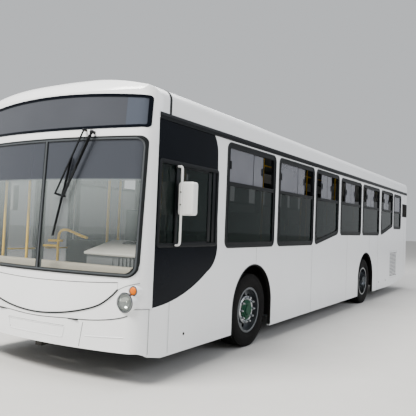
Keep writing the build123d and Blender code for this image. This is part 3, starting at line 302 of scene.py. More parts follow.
def thicken(shape, way):
    """Extrudes all faces of a mesh by a vector, which makes a sheet a solid."""
    raised = bmesh.ops.extrude_face_region(shape, geom=shape.faces[:])["geom"]
    bmesh.ops.translate(shape, vec=way,
                        verts=[part for part in raised if isinstance(part, bmesh.types.BMVert)])
    bmesh.ops.recalc_face_normals(shape, faces=shape.faces)


def oblong(axis, at, low, high):
    """The corners of a rectangle at a place along one axis, between two pairs of the other axes."""
    pairs = (low[0], low[1]), (high[0], low[1]), (high[0], high[1]), (low[0], high[1])
    return [(*pair[:axis], at, *pair[axis:]) for pair in pairs]


def rounded_ring(target, corners, radius, width, depth, way=(0, 1, 0), steps=5):
    """Adds a flat ring with rounded corners inside an outline, raised by depth along way."""
    shape = bmesh.new()
    outline = shape.faces.new([shape.verts.new(corner) for corner in corners])
    ease(shape, outline.verts[:], radius, steps, "VERTICES")
    shape.faces.ensure_lookup_table()
    middle = shape.faces[0]
    if width:
        inset(shape, middle, width)
        bmesh.ops.delete(shape, geom=[middle], context="FACES")
    thicken(shape, Vector(way) * depth)
    merge_into(target, shape)


# Toughened glass printed black on its back: deep blue-black with a clear mirror-like gloss.
printed_glass = mottled("black_printed_glass", "080B10", "0C1017", 2.0, 0.09, 0.15, specular=0.07)
paint_nodes(printed_glass, "driver_panel")
driver_frame = bmesh.new()
rounded_ring(driver_frame, oblong(1, SKIN_Y - 0.02, (5.640, 1.345), (4.500, 2.245)), 0.045, 0.042, 0.029)
# Divider, sliding pane's stiles and rails: front x, rear x, low z, high z, outer y
for x0, x1, z0, z1, outer_y in ((5.337, 5.297, 1.37, 2.22, 1.277), (4.700, 4.640, 1.38, 2.21, 1.268),
                                (4.610, 4.530, 1.37, 2.22, 1.272), (5.31, 4.65, 1.375, 1.400, 1.268),
                                (5.31, 4.65, 2.185, 2.210, 1.268)):
    cuboid(driver_frame, (x1, 1.262, z0), (x0, outer_y, z1))
settle("driver_window_frame", driver_frame, powder_coat, "root", bevel=0.0025)


# Side windows: bonded aluminium frames with a rubber lip, a fixed lower pane, and above the rail
# two panes that slide in channels, left a little open.
def clear_glass(name, colour, second, facing, grazing, **constants):
    """Tinted safety glass, faintly filmed: a straight-through view, more mirror-like at a slant."""
    made = mottled(name, colour, second, 2.5, 0.02, 0.06, **constants)
    slant = add_node(made, "ShaderNodeLayerWeight", {"Blend": 0.35})
    add_node(made, "ShaderNodeMapRange", {"To Min": facing, "To Max": grazing},
             {"Value": slant.outputs["Facing"]}, {"Result": "Alpha"})
    return made


# Toughened glass with a green-grey body tint: the saloon shows darkly through it.
tinted_glass = clear_glass("tinted_side_glass", "091312", "0F1B18", 0.62, 0.9, specular=0.2)
# The sliding panes are a paler grey glass: a painted reflection of the sky that they mirror.
painted_sky_glass = clear_glass("sliding_glass_painted_sky_reflection", "6B6C73", "7A7B83", 0.62, 0.9)
paint_nodes(tinted_glass, "rear_pane", "driver_screen")
paint_nodes(powder_coat, "window_frames")
# front x, rear x, front sill, rear sill, top, sliding panes as shares from front to rear
WINDOW_ROWS = [
    (4.313, 2.923, 1.315, 1.315, 2.620, ((0.0, 0.52), (0.48, 0.76))),
    (2.822, 1.395, 1.315, 1.315, 2.620, ((0.0, 0.52), (0.48, 0.76))),
    (1.316, 0.095, 1.313, 1.507, 2.620, ((0.2, 0.48), (0.44, 0.72))),
    (-0.017, -1.394, 1.484, 1.484, 2.600, ((0.2, 0.48), (0.44, 0.72))),
    (-1.500, -2.903, 1.486, 1.486, 2.600, ((0.2, 0.48), (0.44, 0.72))),
    (-3.066, -4.247, 1.488, 1.716, 2.595, ((0.2, 0.48), (0.44, 0.72))),
    (-4.347, -5.199, 1.660, 1.660, 2.586, ((0.0, 1.0),)),
]
MIDDLE_DOORWAY_ROW = WINDOW_ROWS[2]
FRAME_WIDTH = 0.072
# Low and high edge of the rail between the fixed and the sliding panes
RAIL_LOW = 2.084
RAIL_TOP = 2.132
# Distance inside the outline, corner radius, width, height above the skin, steps round a corner
LIP_FORM = (0.0, 0.095, 0.024, 0.007, 8)
BEAD_FORM = (0.058, 0.037, 0.012, 0.003, 5)
BEAD_PROUD = 0.003
lips, beads, latches, panes, sliders = (bmesh.new() for _ in range(5))
for side in (1, -1):
    skin = side * SKIN_Y
    for row in WINDOW_ROWS:
        if side < 0 and row is MIDDLE_DOORWAY_ROW:
            continue
        front, rear, sill_front, sill_rear, top, slides = row
        for target, (inside, radius, width, proud, steps) in ((lips, LIP_FORM), (beads, BEAD_FORM)):
            corners = [(front - inside, skin, sill_front + inside), (rear + inside, skin, sill_rear + inside),
                       (rear + inside, skin, top - inside), (front - inside, skin, top - inside)]
            rounded_ring(target, corners, radius, width, proud, (0, side, 0), steps)
        glass_front, glass_rear = front - FRAME_WIDTH, rear + FRAME_WIDTH
        for z in (RAIL_LOW + 0.005, RAIL_TOP - 0.005):
            cuboid(beads, (glass_rear, skin, z - 0.005), (glass_front, skin + side * BEAD_PROUD, z + 0.005))
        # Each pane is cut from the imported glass: two corners, and how far it lies inwards
        cuts = [((rear, side * 1.0, 1.2), (front, side * 1.3, RAIL_LOW + 0.01), 0.0)]
        for k, shares in enumerate(slides):
            x0, x1 = (glass_front + share * (glass_rear - glass_front) for share in shares)
            depth = -side * 0.009 * k
            cuts.append(((x1, side * 1.0, RAIL_TOP - 0.01), (x0, side * 1.3, 2.8), depth))
            if len(slides) > 1:
                latch_x = x1 + 0.035 if k else x0 - 0.035
                latch_y = side * (SKIN_Y - 0.014) + depth
                cuboid(latches, (latch_x - 0.014, latch_y, 2.29),
                       (latch_x + 0.014, latch_y + side * 0.012, 2.39))
                for edge_x in (x0, x1):
                    cuboid(latches, (edge_x - 0.007, latch_y, RAIL_TOP),
                           (edge_x + 0.007, latch_y + side * 0.002, top - FRAME_WIDTH))
        for corner, opposite, depth in cuts:
            pane = slice_of("side_glass", corner, opposite)
            bmesh.ops.holes_fill(pane, edges=[edge for edge in pane.edges if edge.is_boundary])
            bmesh.ops.translate(pane, verts=pane.verts, vec=(0, depth, 0))
            merge_into(panes if corner[2] < RAIL_LOW else sliders, pane)
merge_into(panes, slice_of("side_glass", (4.4, 1.0, 1.2), (5.7, 1.3, 2.4)))
settle("window_lips", lips, sealing_rubber, "root", bevel=0.003, segments=3)
settle("window_beads", beads, powder_coat, "root", bevel=0.001)
settle("window_latches", latches, powder_coat, "root", bevel=0.002)
# The sliding panes' pale grey is a painted sky reflection.
settle("sliding_panes", sliders, painted_sky_glass, "root")
window_panes = settle("window_panes", panes, tinted_glass, "root")
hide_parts("side_glass")


# Windscreen: two curved laminated panes in a wide rubber surround with a filler strip pressed
# into its groove, its grey a painted highlight, and the same rubber as the middle divider. The glass
# has a tinted sun band, and below it a pale film that grows with height: a painted sky reflection.
# The pale base colour shows more as the alpha rises, and it is the painted sky reflection.
laminated_glass = clear_glass("laminated_screen_glass", "A9B2B2", "B4BBB8", 0.04, 0.16)
clear_share = laminated_glass.node_tree.nodes["Principled BSDF"].inputs["Alpha"].links[0].from_socket
screen_place = add_node(laminated_glass, "ShaderNodeTexCoord")
screen_height = add_node(laminated_glass, "ShaderNodeSeparateXYZ", None,
                         {"Vector": screen_place.outputs["Object"]}).outputs["Z"]
sun_band = add_node(laminated_glass, "ShaderNodeMapRange", {"From Min": 1.99, "From Max": 2.02},
                    {"Value": screen_height}).outputs["Result"]
add_node(laminated_glass, "ShaderNodeMix", {"A": linear("A9B2B2"), "B": linear("3B3E45")},
         {"Factor": sun_band}, {"Result": "Base Color"}, data_type="RGBA")
# Painted sky reflection: from 1.35 m to 1.95 m the pale glass grows more opaque.
painted_sky_sheen = add_node(laminated_glass, "ShaderNodeMapRange",
                     {"From Min": 1.35, "From Max": 1.95, "To Min": 0.0, "To Max": 0.16},
                     {"Value": screen_height})
alpha_with_painted_sky = add_node(laminated_glass, "ShaderNodeMath", None, {0: clear_share, 1: painted_sky_sheen.outputs["Result"]},
                   operation="ADD")
add_node(laminated_glass, "ShaderNodeMix", {"B": 0.93}, {"Factor": sun_band, "A": alpha_with_painted_sky.outputs[0]},
         {"Result": "Alpha"}, data_type="FLOAT")
paint_nodes(laminated_glass, "windscreen_panes")
paint_nodes(sealing_rubber, "glazing_seals")
front_skin = bmesh.new()
for node in ("front_mask", "front_hatch", "front_bumper", "windscreen_panes", "glazing_seals",
             "destination_sign"):
    front_skin.from_mesh(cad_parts[node].data)
front_tree = BVHTree.FromBMesh(front_skin)
front_skin.free()


def on_front(y, z, proud=0.0):
    """The point of the front's outer skin straight ahead of a side distance and a height."""
    steps = [(0, 0), (0.009, 0), (-0.009, 0), (0, 0.009), (0, -0.009)]
    found = [front_tree.ray_cast(Vector((7, y + dy, z + dz)), Vector((-1, 0, 0)))[0] for dy, dz in steps]
    reach = max(place.x for place in found if place)
    return Vector((reach + proud, y, z))


def rounded_outline(corners, radius, steps=8, spacing=0.05):
    """Points once round an outline given by its corners (side, height), rounded and closely spaced."""
    shape = bmesh.new()
    face = shape.faces.new([shape.verts.new((0, y, z)) for y, z in corners])
    if radius:
        ease(shape, face.verts[:], radius, steps, "VERTICES")
    shape.faces.ensure_lookup_table()
    ring = [vert.co.copy() for vert in shape.faces[0].verts]
    shape.free()
    points = []
    for start, end in zip(ring, ring[1:] + ring[:1]):
        count = max(1, round((end - start).length / spacing))
        points += [start.lerp(end, k / count) for k in range(count)]
    return [(point.y, point.z) for point in points]


def front_band(target, outline, width, proud, sink=0.002):
    """Adds a band of even width inside an outline, laid on the curved front and raised a little."""
    shape = bmesh.new()
    middle = shape.faces.new([shape.verts.new((0, y, z)) for y, z in outline])
    shape.normal_update()
    inset(shape, middle, width)
    bmesh.ops.delete(shape, geom=[middle], context="FACES")
    for vert in shape.verts:
        vert.co = on_front(vert.co.y, vert.co.z, -sink)
    thicken(shape, (proud + sink, 0, 0))
    merge_into(target, shape)


# Filler strip: extruded plastic, satin, its grey a painted highlight: the thin pale line of sky that the seal
# mirrors.
filler_painted_highlight = mottled("filler_strip_painted_highlight", "3A3D40", "464A4D", 90.0, 0.35, 0.50, 0.1, 0.0003, specular=0.3)
# The opening in the front moulding: half width at foot and top, low and top edge
low_half, top_half, low_z, top_z = 1.224, 1.232, 1.050, 2.446
screen_lip, filler = bmesh.new(), bmesh.new()
for target, inside, radius, width, proud in ((screen_lip, 0.0, 0.11, 0.013, 0.005),
                                             (filler, 0.017, 0.095, 0.017, 0.003)):
    low_y, top_y = low_half - inside, top_half - inside
    foot_z, head_z = low_z + inside, top_z - inside
    corners = [(-low_y, foot_z), (low_y, foot_z), (top_y, head_z), (-top_y, head_z)]
    front_band(target, rounded_outline(corners, radius), width, proud)
front_band(filler, rounded_outline([(-0.006, low_z + 0.02), (0.016, low_z + 0.02),
                                    (0.016, top_z - 0.02), (-0.006, top_z - 0.02)], 0), 0.0108, 0.004)
settle("screen_surround_lip", screen_lip, sealing_rubber, "root", bevel=0.0015)
settle("screen_filler_strip", filler, filler_painted_highlight, "root", bevel=0.001)


# Destination sign: one bent pane over the width of the bus, grey tinted, blank, with a black printed
# border. Beyond a slanted joint each end is a paler, bluer pane.
sign_glass = surface("grey_sign_glass", "3E444C", 0.1, specular=0.35)
sign_place = add_node(sign_glass, "ShaderNodeTexCoord").outputs["Object"]
sign_parts = add_node(sign_glass, "ShaderNodeSeparateXYZ", None, {"Vector": sign_place})
sign_side = add_node(sign_glass, "ShaderNodeMath", None, {0: sign_parts.outputs["Y"]}, operation="ABSOLUTE")
sign_end = add_node(sign_glass, "ShaderNodeMapRange", {"From Min": 0.985, "From Max": 0.992},
                    {"Value": sign_side.outputs[0]})
sign_cloud = add_node(sign_glass, "ShaderNodeTexNoise", {"Scale": 1.6, "Detail": 1}, {"Vector": sign_place})
sign_grey = add_node(sign_glass, "ShaderNodeMix", {"A": linear("3C3E43"), "B": linear("45474D")},
                     {"Factor": sign_cloud.outputs["Fac"]}, data_type="RGBA")
add_node(sign_glass, "ShaderNodeMix", {"B": linear("454A54")},
         {"Factor": sign_end.outputs["Result"], "A": sign_grey.outputs["Result"]},
         {"Result": "Base Color"}, data_type="RGBA")
paint_nodes(sign_glass, "destination_sign")
SIGN_HALF = 1.238
sign_end_line = [(SIGN_HALF - 0.006, 2.545), (SIGN_HALF, 2.57), (SIGN_HALF, 2.70), (SIGN_HALF, 2.82),
                 (SIGN_HALF - 0.006, 2.84)]
sign_outline = []
# The low edge and one end, then the top edge and the other end
for mid_z, end_z, way in ((2.523, 2.530, 1), (2.908, 2.852, -1)):
    for k in range(-16, 17):
        share = way * k / 16 * 0.976
        sign_outline.append((share * SIGN_HALF, mid_z + (end_z - mid_z) * share * share))
    sign_outline += [(way * y, z) for y, z in sign_end_line[::way]]
sign_border = bmesh.new()
front_band(sign_border, sign_outline, 0.03, 0.004)
settle("sign_border", sign_border, printed_glass, "root")


# Front hatch and bumper: separate mouldings. A dark rubber cord closes the hatch's curved lower
# seam and, thick, is also a painted shadow under the hatch's lip; the bumper has a shallow plate recess
# whose top and left end carry dark cords as painted shadow lines, two joints, two drain slots and a moulded
# crease.
def piping(target, points, radius, rounds=2, smooth=True):
    """Adds a round cord or tube along a line of points to a mesh under work."""
    line = bpy.data.curves.new("line", "CURVE")
    line.dimensions = "3D"
    line.bevel_depth = radius
    line.bevel_resolution = rounds
    line.resolution_u = 6
    line.use_fill_caps = True
    spline = line.splines.new("NURBS" if smooth else "POLY")
    spline.points.add(len(points) - 1)
    for knot, point in zip(spline.points, points):
        knot.co = (*point, 1)
    if smooth:
        spline.order_u = 4
        spline.use_endpoint_u = True
    holder = bpy.data.objects.new("line", line)
    drawn = bpy.data.meshes.new_from_object(holder)
    target.from_mesh(drawn)
    bpy.data.meshes.remove(drawn)
    bpy.data.objects.remove(holder)
    bpy.data.curves.remove(line)


def front_cord(target, line, proud, radius, smooth=True):
    """Adds a cord laid on the curved front along a line of side distances and heights."""
    piping(target, [on_front(y, z, proud) for y, z in line], radius, smooth=smooth)


def both_sides(half):
    """A line given from the middle outwards, run from one side to the other."""
    return [(-y, z) for y, z in reversed(half[1:])] + half


HATCH_LINE = [(0.0, 0.622), (0.17, 0.630), (0.323, 0.645), (0.45, 0.664), (0.568, 0.687), (0.69, 0.718),
              (0.795, 0.751), (0.87, 0.790), (0.926, 0.833), (0.985, 0.880), (1.031, 0.933)]
HATCH_TOP_LINE = [(1.031 * k / 8, 0.967 + 0.034 * (k / 8) ** 2) for k in range(9)]
BROW_LINE = [(1.028, 0.925), (1.052, 0.940), (1.081, 0.955), (1.120, 0.972), (1.162, 0.985), (1.200, 0.997),
             (1.236, 1.004)]
BUMPER_LINE = [(0.0, 0.585), (0.2, 0.590), (0.42, 0.604), (0.66, 0.606), (0.85, 0.622), (1.007, 0.645),
               (1.085, 0.665), (1.144, 0.687)]
PLATE_LINE = [(-0.395, 0.42), (-0.43, 0.524), (-0.2, 0.524), (0.0, 0.524), (0.2, 0.524), (0.411, 0.524)]
front_seam_and_shadow_cords = bmesh.new()
# The thick cord on the hatch's lower seam is partly a painted shadow under the hatch's lip.
front_cord(front_seam_and_shadow_cords, both_sides(HATCH_LINE), 0.001, 0.0085)
front_cord(front_seam_and_shadow_cords, both_sides(HATCH_TOP_LINE), -0.001, 0.003)
front_cord(front_seam_and_shadow_cords, both_sides(BUMPER_LINE), -0.001, 0.0048)
# The dark lines along the plate recess's top and left end are painted shadow lines.
front_cord(front_seam_and_shadow_cords, PLATE_LINE, -0.0012, 0.003, smooth=False)
for side in (1, -1):
    cuboid(front_seam_and_shadow_cords, (5.93, side * 0.465, 0.596),
           (on_front(side * 0.465, 0.602, 0.001).x, side * 0.591, 0.607))
    front_cord(front_seam_and_shadow_cords, [(side * (0.65 - 0.041 * k / 5), 0.582 - 0.24 * k / 5) for k in range(6)],
               -0.0005, 0.0025)
    front_cord(front_seam_and_shadow_cords, [(side * y, z) for y, z in BROW_LINE], -0.001, 0.0025)
    seam_y = side * (SKIN_Y - 0.0008)
    piping(front_seam_and_shadow_cords, [(5.700, seam_y, z) for z in (0.31, 0.5, 0.748)], 0.0028, smooth=False)
    corner_line = [on_front(side * (1.268 - 0.014 * k), 0.750 + 0.001 * k, -0.0008) for k in range(5)]
    piping(front_seam_and_shadow_cords, [(5.694, seam_y, 0.749), *corner_line], 0.0025)
settle("front_seams_and_painted_shadows", front_seam_and_shadow_cords, sealing_rubber, "root")
recess = bmesh.new()
front_band(recess, rounded_outline([(-0.40, 0.405), (0.40, 0.405), (0.425, 0.523), (-0.425, 0.523)], 0.02),
           0.008, 0.0035)
for side in (1, -1):
    crease_line = [(side * (0.683 + 0.42 * k / 6), 0.452 + 0.023 * k / 6) for k in range(7)]
    front_cord(recess, crease_line, -0.001, 0.005)
settle("bumper_mouldings", recess, coach_enamel, "root", bevel=0.001)


# Front lamps: a chromed bezel, a domed clear lens with fine flutes over a bright dish, and above
# each a small amber lamp in the same kind of ring. Each sits on a short swell of the moulding.
def turned(target, profile, centre, way=(1, 0, 0), steps=40):
    """Adds a turned shape: a profile of radius and distance along an axis, spun once round it."""
    axis = Vector(way)
    outward = axis.orthogonal().normalized()
    shape = bmesh.new()
    ring = [shape.verts.new(Vector(centre) + outward * radius + axis * along) for radius, along in profile]
    edges = [shape.edges.new(pair) for pair in zip(ring, ring[1:])]
    bmesh.ops.spin(shape, geom=ring + edges, cent=centre, axis=axis, dvec=(0, 0, 0), angle=2 * pi,
                   steps=steps, use_merge=True, use_duplicate=False)
    bmesh.ops.remove_doubles(shape, verts=shape.verts, dist=0.00002)
    bmesh.ops.recalc_face_normals(shape, faces=shape.faces)
    merge_into(target, shape)


def emboss(made, kind, scale, strength, depth, output="Fac", **settings):
    """Presses the pattern of a texture into a material, and returns the texture's node."""
    place = add_node(made, "ShaderNodeTexCoord")
    texture = add_node(made, kind, {"Scale": scale}, {"Vector": place.outputs["Object"]}, **settings)
    add_node(made, "ShaderNodeBump", {"Strength": strength, "Distance": depth},
             {"Height": texture.outputs[output]}, {"Normal": "Normal"})
    return texture


# Chromed brass: mirror bright with a cool tone.
chrome = mottled("chromed_bezel", "8A8E92", "96999C", 30.0, 0.10, 0.20, metallic=1.0)
# Pressed reflector dish: vacuum aluminised, bright and slightly soft.
reflector_foil = mottled("aluminised_reflector", "969A94", "A2A69F", 40.0, 0.10, 0.20, metallic=1.0)
# Moulded clear glass with fine upright flutes, 6 mm apart on the real lens.
lens_glass = surface("fluted_lens_glass", "DDE4E2", 0.05, Alpha=0.14)
emboss(lens_glass, "ShaderNodeTexWave", 52.0, 0.4, 0.002, bands_direction="Y")
# Moulded amber plastic over a lamp: saturated orange, clear and glossy, with level flutes.
amber_plastic = surface("moulded_amber_lens", "DC6E00", 0.28, specular=0.08)
emboss(amber_plastic, "ShaderNodeTexWave", 40.0, 0.3, 0.002, bands_direction="Z")
bezels, gaskets, dishes, head_lenses, amber_lenses = (bmesh.new() for _ in range(5))
HEADLAMP_PROFILES = [
    (bezels, [(0.095, -0.09), (0.095, -0.002), (0.0935, 0.002), (0.089, 0.004), (0.084, 0.002),
              (0.082, -0.004), (0.082, -0.012)]),
    (gaskets, [(0.0945, -0.004), (0.0955, 0.0005), (0.0985, 0.0), (0.099, -0.006)]),
    (dishes, [(0.083, -0.010), (0.078, -0.022), (0.066, -0.040), (0.048, -0.056), (0.024, -0.066),
              (0.0, -0.068)]),
    (head_lenses, [(0.083, -0.006), (0.080, -0.002), (0.064, 0.002), (0.040, 0.004), (0.0, 0.0045)]),
]
AMBER_LAMP_PROFILES = [
    (bezels, [(0.045, -0.06), (0.045, -0.002), (0.043, 0.002), (0.039, 0.001), (0.037, -0.004)]),
    (gaskets, [(0.0445, -0.004), (0.0455, 0.0), (0.0485, -0.001), (0.049, -0.006)]),
    (amber_lenses, [(0.038, -0.004), (0.034, 0.004), (0.024, 0.009), (0.010, 0.011), (0.0, 0.0115)]),
]
for side in (1, -1):
    head = (5.884, side * 1.118, 0.815)
    for centre, rows in ((head, HEADLAMP_PROFILES), ((5.852, side * 1.190, 0.930), AMBER_LAMP_PROFILES)):
        for target, profile in rows:
            turned(target, profile, centre)
    # The cap over the bulb
    turned(dishes, [(0.017, -0.066), (0.017, -0.030), (0.013, -0.022), (0.0, -0.019)], head, steps=20)
lamp_rings = settle("lamp_bezels", bezels, chrome, "root")
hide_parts("front_lamps")
settle("lamp_gaskets", gaskets, sealing_rubber, "root", sharp=60)
settle("lamp_dishes", dishes, reflector_foil, "root", sharp=60)
settle("headlamp_lenses", head_lenses, lens_glass, "root", sharp=60)
settle("amber_lenses", amber_lenses, amber_plastic, "root", sharp=60)


# Wiper: a tapered pressed-steel arm and a slimmer link above the windscreen, both coated black,
# each on a capped spindle. They carry a bridged blade with a rubber edge.
# The wiper's own plane: out of the glass, across it and up it
OUT_WAY = Vector((0.99464526, 0.096483499, 0.037037037)).normalized()
ACROSS_WAY = Vector((-OUT_WAY.y, OUT_WAY.x, 0)).normalized()
UP_WAY = OUT_WAY.cross(ACROSS_WAY)


def swung(points, centre):
    """Places points given in the wiper's own plane (across, up, out) on the bus, in metres."""
    return [Vector(centre) + ACROSS_WAY * a + UP_WAY * u + OUT_WAY * w for a, u, w in points]


# Coated pressed steel: black, even, with the low sheen of a thin paint.
wiper_coat = mottled("black_wiper_coat", "0C0D0F", "16181A", 150.0, 0.34, 0.46, 0.15, 0.0003, specular=0.25)
paint_nodes(wiper_coat, "wiper_arm", "wiper_link", "wiper_blade")
ARM_PIVOT = (5.907739, 0.64, 2.485)
LINK_PIVOT = (5.916956, 0.535401, 2.509983)
BLADE_PIVOT = (5.962009, 0.3318, 1.830449)
BLADE_TILT = radians(12)
arm_cap, link_cap, bridge = (bmesh.new() for _ in range(3))
turned(arm_cap, [(0.0, 0.062), (0.012, 0.061), (0.019, 0.055), (0.021, 0.046), (0.021, 0.036), (0.0, 0.036)],
       ARM_PIVOT, OUT_WAY, 24)
piping(arm_cap, swung([(-0.02, -0.03, 0.053), (-0.09, -0.19, 0.055), (-0.17, -0.36, 0.053)], ARM_PIVOT),
       0.007)
turned(link_cap, [(0.0, 0.056), (0.010, 0.055), (0.014, 0.050), (0.015, 0.042), (0.015, 0.034), (0.0, 0.034)],
       LINK_PIVOT, OUT_WAY, 24)
for reach in (-0.39, -0.22, -0.06, 0.06, 0.22, 0.39):
    across, up = -0.03 + reach * sin(BLADE_TILT), reach * cos(BLADE_TILT)
    claw = [(across - 0.010, up, 0.012), (across, up, 0.027), (across + 0.010, up, 0.012)]
    piping(bridge, swung(claw, BLADE_PIVOT), 0.004)
for sign in (1, -1):
    spine = [(-0.03 + sign * reach * sin(BLADE_TILT), sign * reach * cos(BLADE_TILT), out) for reach, out in
             ((0.0, 0.027), (0.10, 0.0285), (0.20, 0.0275), (0.30, 0.026), (0.38, 0.024))]
    piping(bridge, swung(spine, BLADE_PIVOT), 0.0045)
settle("wiper_arm_fittings", arm_cap, wiper_coat, "body_wiper_arm")
settle("wiper_link_cap", link_cap, wiper_coat, "body_wiper_link")
settle("wiper_blade_bridge", bridge, wiper_coat, "body_wiper_blade")


# Mirrors: a white steel tube bent at both ends into black clamps on the body, and a moulded white
# housing that hangs beside it on two bolts. Its back is a convex mirror.
mirror_white = mottled("moulded_white_plastic", "F1F1EF", "E7E7E4", 120.0, 0.30, 0.42, 0.1, 0.0003,
                       specular=0.4)
# Silvered convex glass: a clean cool mirror with a breath of dust.
mirror_silver = mottled("silvered_mirror", "C6CCD0", "B6BDC2", 6.0, 0.02, 0.07, metallic=1.0)
TUBE_X = 5.342
CLAMP_PROFILE = [(0.0, 0.0), (0.024, 0.0), (0.024, 0.010), (0.018, 0.015), (0.018, 0.022), (0.0, 0.022)]
BOLT_PROFILE = [(0.0, 0.012), (0.006, 0.011), (0.008, 0.006), (0.008, 0.0), (0.0, 0.0)]
for name, side in (("left", 1), ("right", -1)):
    tube_y, wall_y, bent_y = side * 1.350, side * 1.274, side * 1.338
    # The right mirror's clamps sit further ahead, so its tube runs back level from them
    foot_x = TUBE_X if side > 0 else 5.585
    level_run = [(foot_x, wall_y), (foot_x, wall_y + side * 0.03)]
    if side < 0:
        level_run += [(foot_x - 0.02, tube_y), (foot_x - 0.08, tube_y), (TUBE_X + 0.05, tube_y)]
    upright_run = [(bent_y, 2.189), (tube_y, 2.170), (tube_y, 2.12), (tube_y, 1.8), (tube_y, 1.43),
                   (tube_y, 1.388), (bent_y, 1.369)]
    tube = bmesh.new()
    piping(tube, [(x, y, 2.190) for x, y in level_run] + [(TUBE_X, y, z) for y, z in upright_run]
           + [(x, y, 1.368) for x, y in reversed(level_run)], 0.0125, rounds=4)
    settle(f"mirror_tube_{name}", tube, mirror_white, "root", sharp=60)
    clamps = bmesh.new()
    for z in (1.369, 2.189):
        turned(clamps, CLAMP_PROFILE, (foot_x, wall_y, z), (0, side, 0), 24)
    for z in (1.790, 1.920):
        turned(clamps, BOLT_PROFILE, (TUBE_X + 0.013, tube_y, z), (1, 0, 0), 12)
    settle(f"mirror_clamps_{name}", clamps, powder_coat, "root", bevel=0.001)
    housing = bmesh.new()
    inner_y, outer_y = tube_y - side * 0.053, tube_y + side * 0.142
    cuboid(housing, (TUBE_X - 0.088, inner_y, 1.680), (TUBE_X - 0.006, outer_y, 2.030))
    ease(housing, [edge for edge in housing.edges if abs((edge.verts[0].co - edge.verts[1].co).x) > 0.05],
         0.034, 6)
    ahead_face = max(housing.faces, key=lambda face: face.calc_center_median().x)
    rear_face = min(housing.faces, key=lambda face: face.calc_center_median().x)
    ease(housing, ahead_face.edges[:], 0.022, 5)
    inset(housing, rear_face, 0.010)
    bmesh.ops.translate(housing, verts=rear_face.verts, vec=(0.008, 0, 0))
    housing_piece = settle(f"mirror_housing_{name}", housing, mirror_white, "root", sharp=50)
    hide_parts(f"mirror_{name}")
    silver = bmesh.new()
    rounded_ring(silver, oblong(0, TUBE_X - 0.083, (inner_y + side * 0.0105, 1.6905),
                                (outer_y - side * 0.0105, 2.0195)), 0.024, 0, 0.003, (-1, 0, 0), steps=6)
    settle(f"mirror_glass_{name}", silver, mirror_silver, "root")


# Doors: two leaves at each doorway, bonded glass in black aluminium frames, with soft rubber edges
# that meet in the middle and a grab bar across the inside.
door_glass = clear_glass("tinted_door_glass", "22282C", "2A3135", 0.4, 0.9)
# Powder coat on steel tube: warm full yellow, satin, rubbed a little darker where hands go.
rail_yellow = mottled("yellow_powder_coat", "F0C400", "DCAE00", 9.0, 0.30, 0.45, 0.1, 0.0003)
LEAF_Y = -1.255
GLASS_HALF = 0.0034


def in_pane(face):
    """Whether a face of a leaf belongs to its glass, which lies in the leaf's middle plane."""
    return max(abs(vert.co.y - LEAF_Y) for vert in face.verts) < GLASS_HALF


for doorway in ("front", "middle"):
    for leaf in ("a", "b"):
        node, body = f"door_{doorway}_{leaf}", f"leaf_{doorway}_{leaf}"
        low, high = (Vector(corner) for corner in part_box(node))
        leaf_frame = slice_of(node, low - Vector((1, 1, 1)), high + Vector((1, 1, 1)))
        glass = leaf_frame.copy()
        for part, is_glass in ((leaf_frame, False), (glass, True)):
            others = [face for face in part.faces if in_pane(face) != is_glass]
            bmesh.ops.delete(part, geom=others, context="FACES")
        leaf_frame = settle(f"{node}_frame", leaf_frame, powder_coat, body)
        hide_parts(node)
        settle(f"{node}_pane", glass, door_glass, body)
        free_x, inner_x = (low.x, low.x + 0.020) if leaf == "a" else (high.x, high.x - 0.020)
        trim = bmesh.new()
        cuboid(trim, (free_x, -1.2765, low.z + 0.03), (inner_x, -1.2720, high.z - 0.03))
        pane_edges = oblong(1, -1.2725, (low.x + 0.066, low.z + 0.128), (high.x - 0.066, high.z - 0.128))
        rounded_ring(trim, pane_edges, 0.03, 0.018, 0.003, (0, -1, 0))
        settle(f"{node}_rubber", trim, sealing_rubber, body, bevel=0.001)
        bar = bmesh.new()
        x0, x1 = low.x + 0.09, high.x - 0.09
        bar_line = [(x0, -1.236), (x0, -1.205), (x0 + 0.03, -1.200),
                    (x1 - 0.03, -1.200), (x1, -1.205), (x1, -1.236)]
        piping(bar, [(x, y, 1.20) for x, y in bar_line], 0.011, rounds=3)
        settle(f"{node}_grab_bar", bar, rail_yellow, body, sharp=60)


# Tyres: road tyres with five ribs, open shoulders and a plain sidewall. The rubber is grey-black,
# dusty in the grooves, and slightly shiny on the sidewall.
tyre_rubber = mottled("vulcanised_tyre_rubber", "0B0B0C", "191817", 60.0, 0.65, 0.85, 0.25, 0.002,
                      specular=0.1)
# Half of the section from the bore to the tread's middle: radius, distance out from the middle
TYRE_HALF = [(0.288, 0.099), (0.290, 0.112), (0.302, 0.117), (0.330, 0.128), (0.358, 0.1345),
             (0.385, 0.1368), (0.415, 0.1345), (0.441, 0.129), (0.447, 0.1265), (0.462, 0.119),
             (0.4735, 0.108), (0.4775, 0.099), (0.4785, 0.083), (0.468, 0.0815), (0.468, 0.0725),
             (0.479, 0.071), (0.4795, 0.034), (0.467, 0.0325), (0.467, 0.0225), (0.4795, 0.021),
             (0.4795, 0.0)]
TREAD_PITCH = 96
FRONT_AXLE_X = 3.516
REAR_AXLE_X = -1.829
AXLE_Z = 0.480
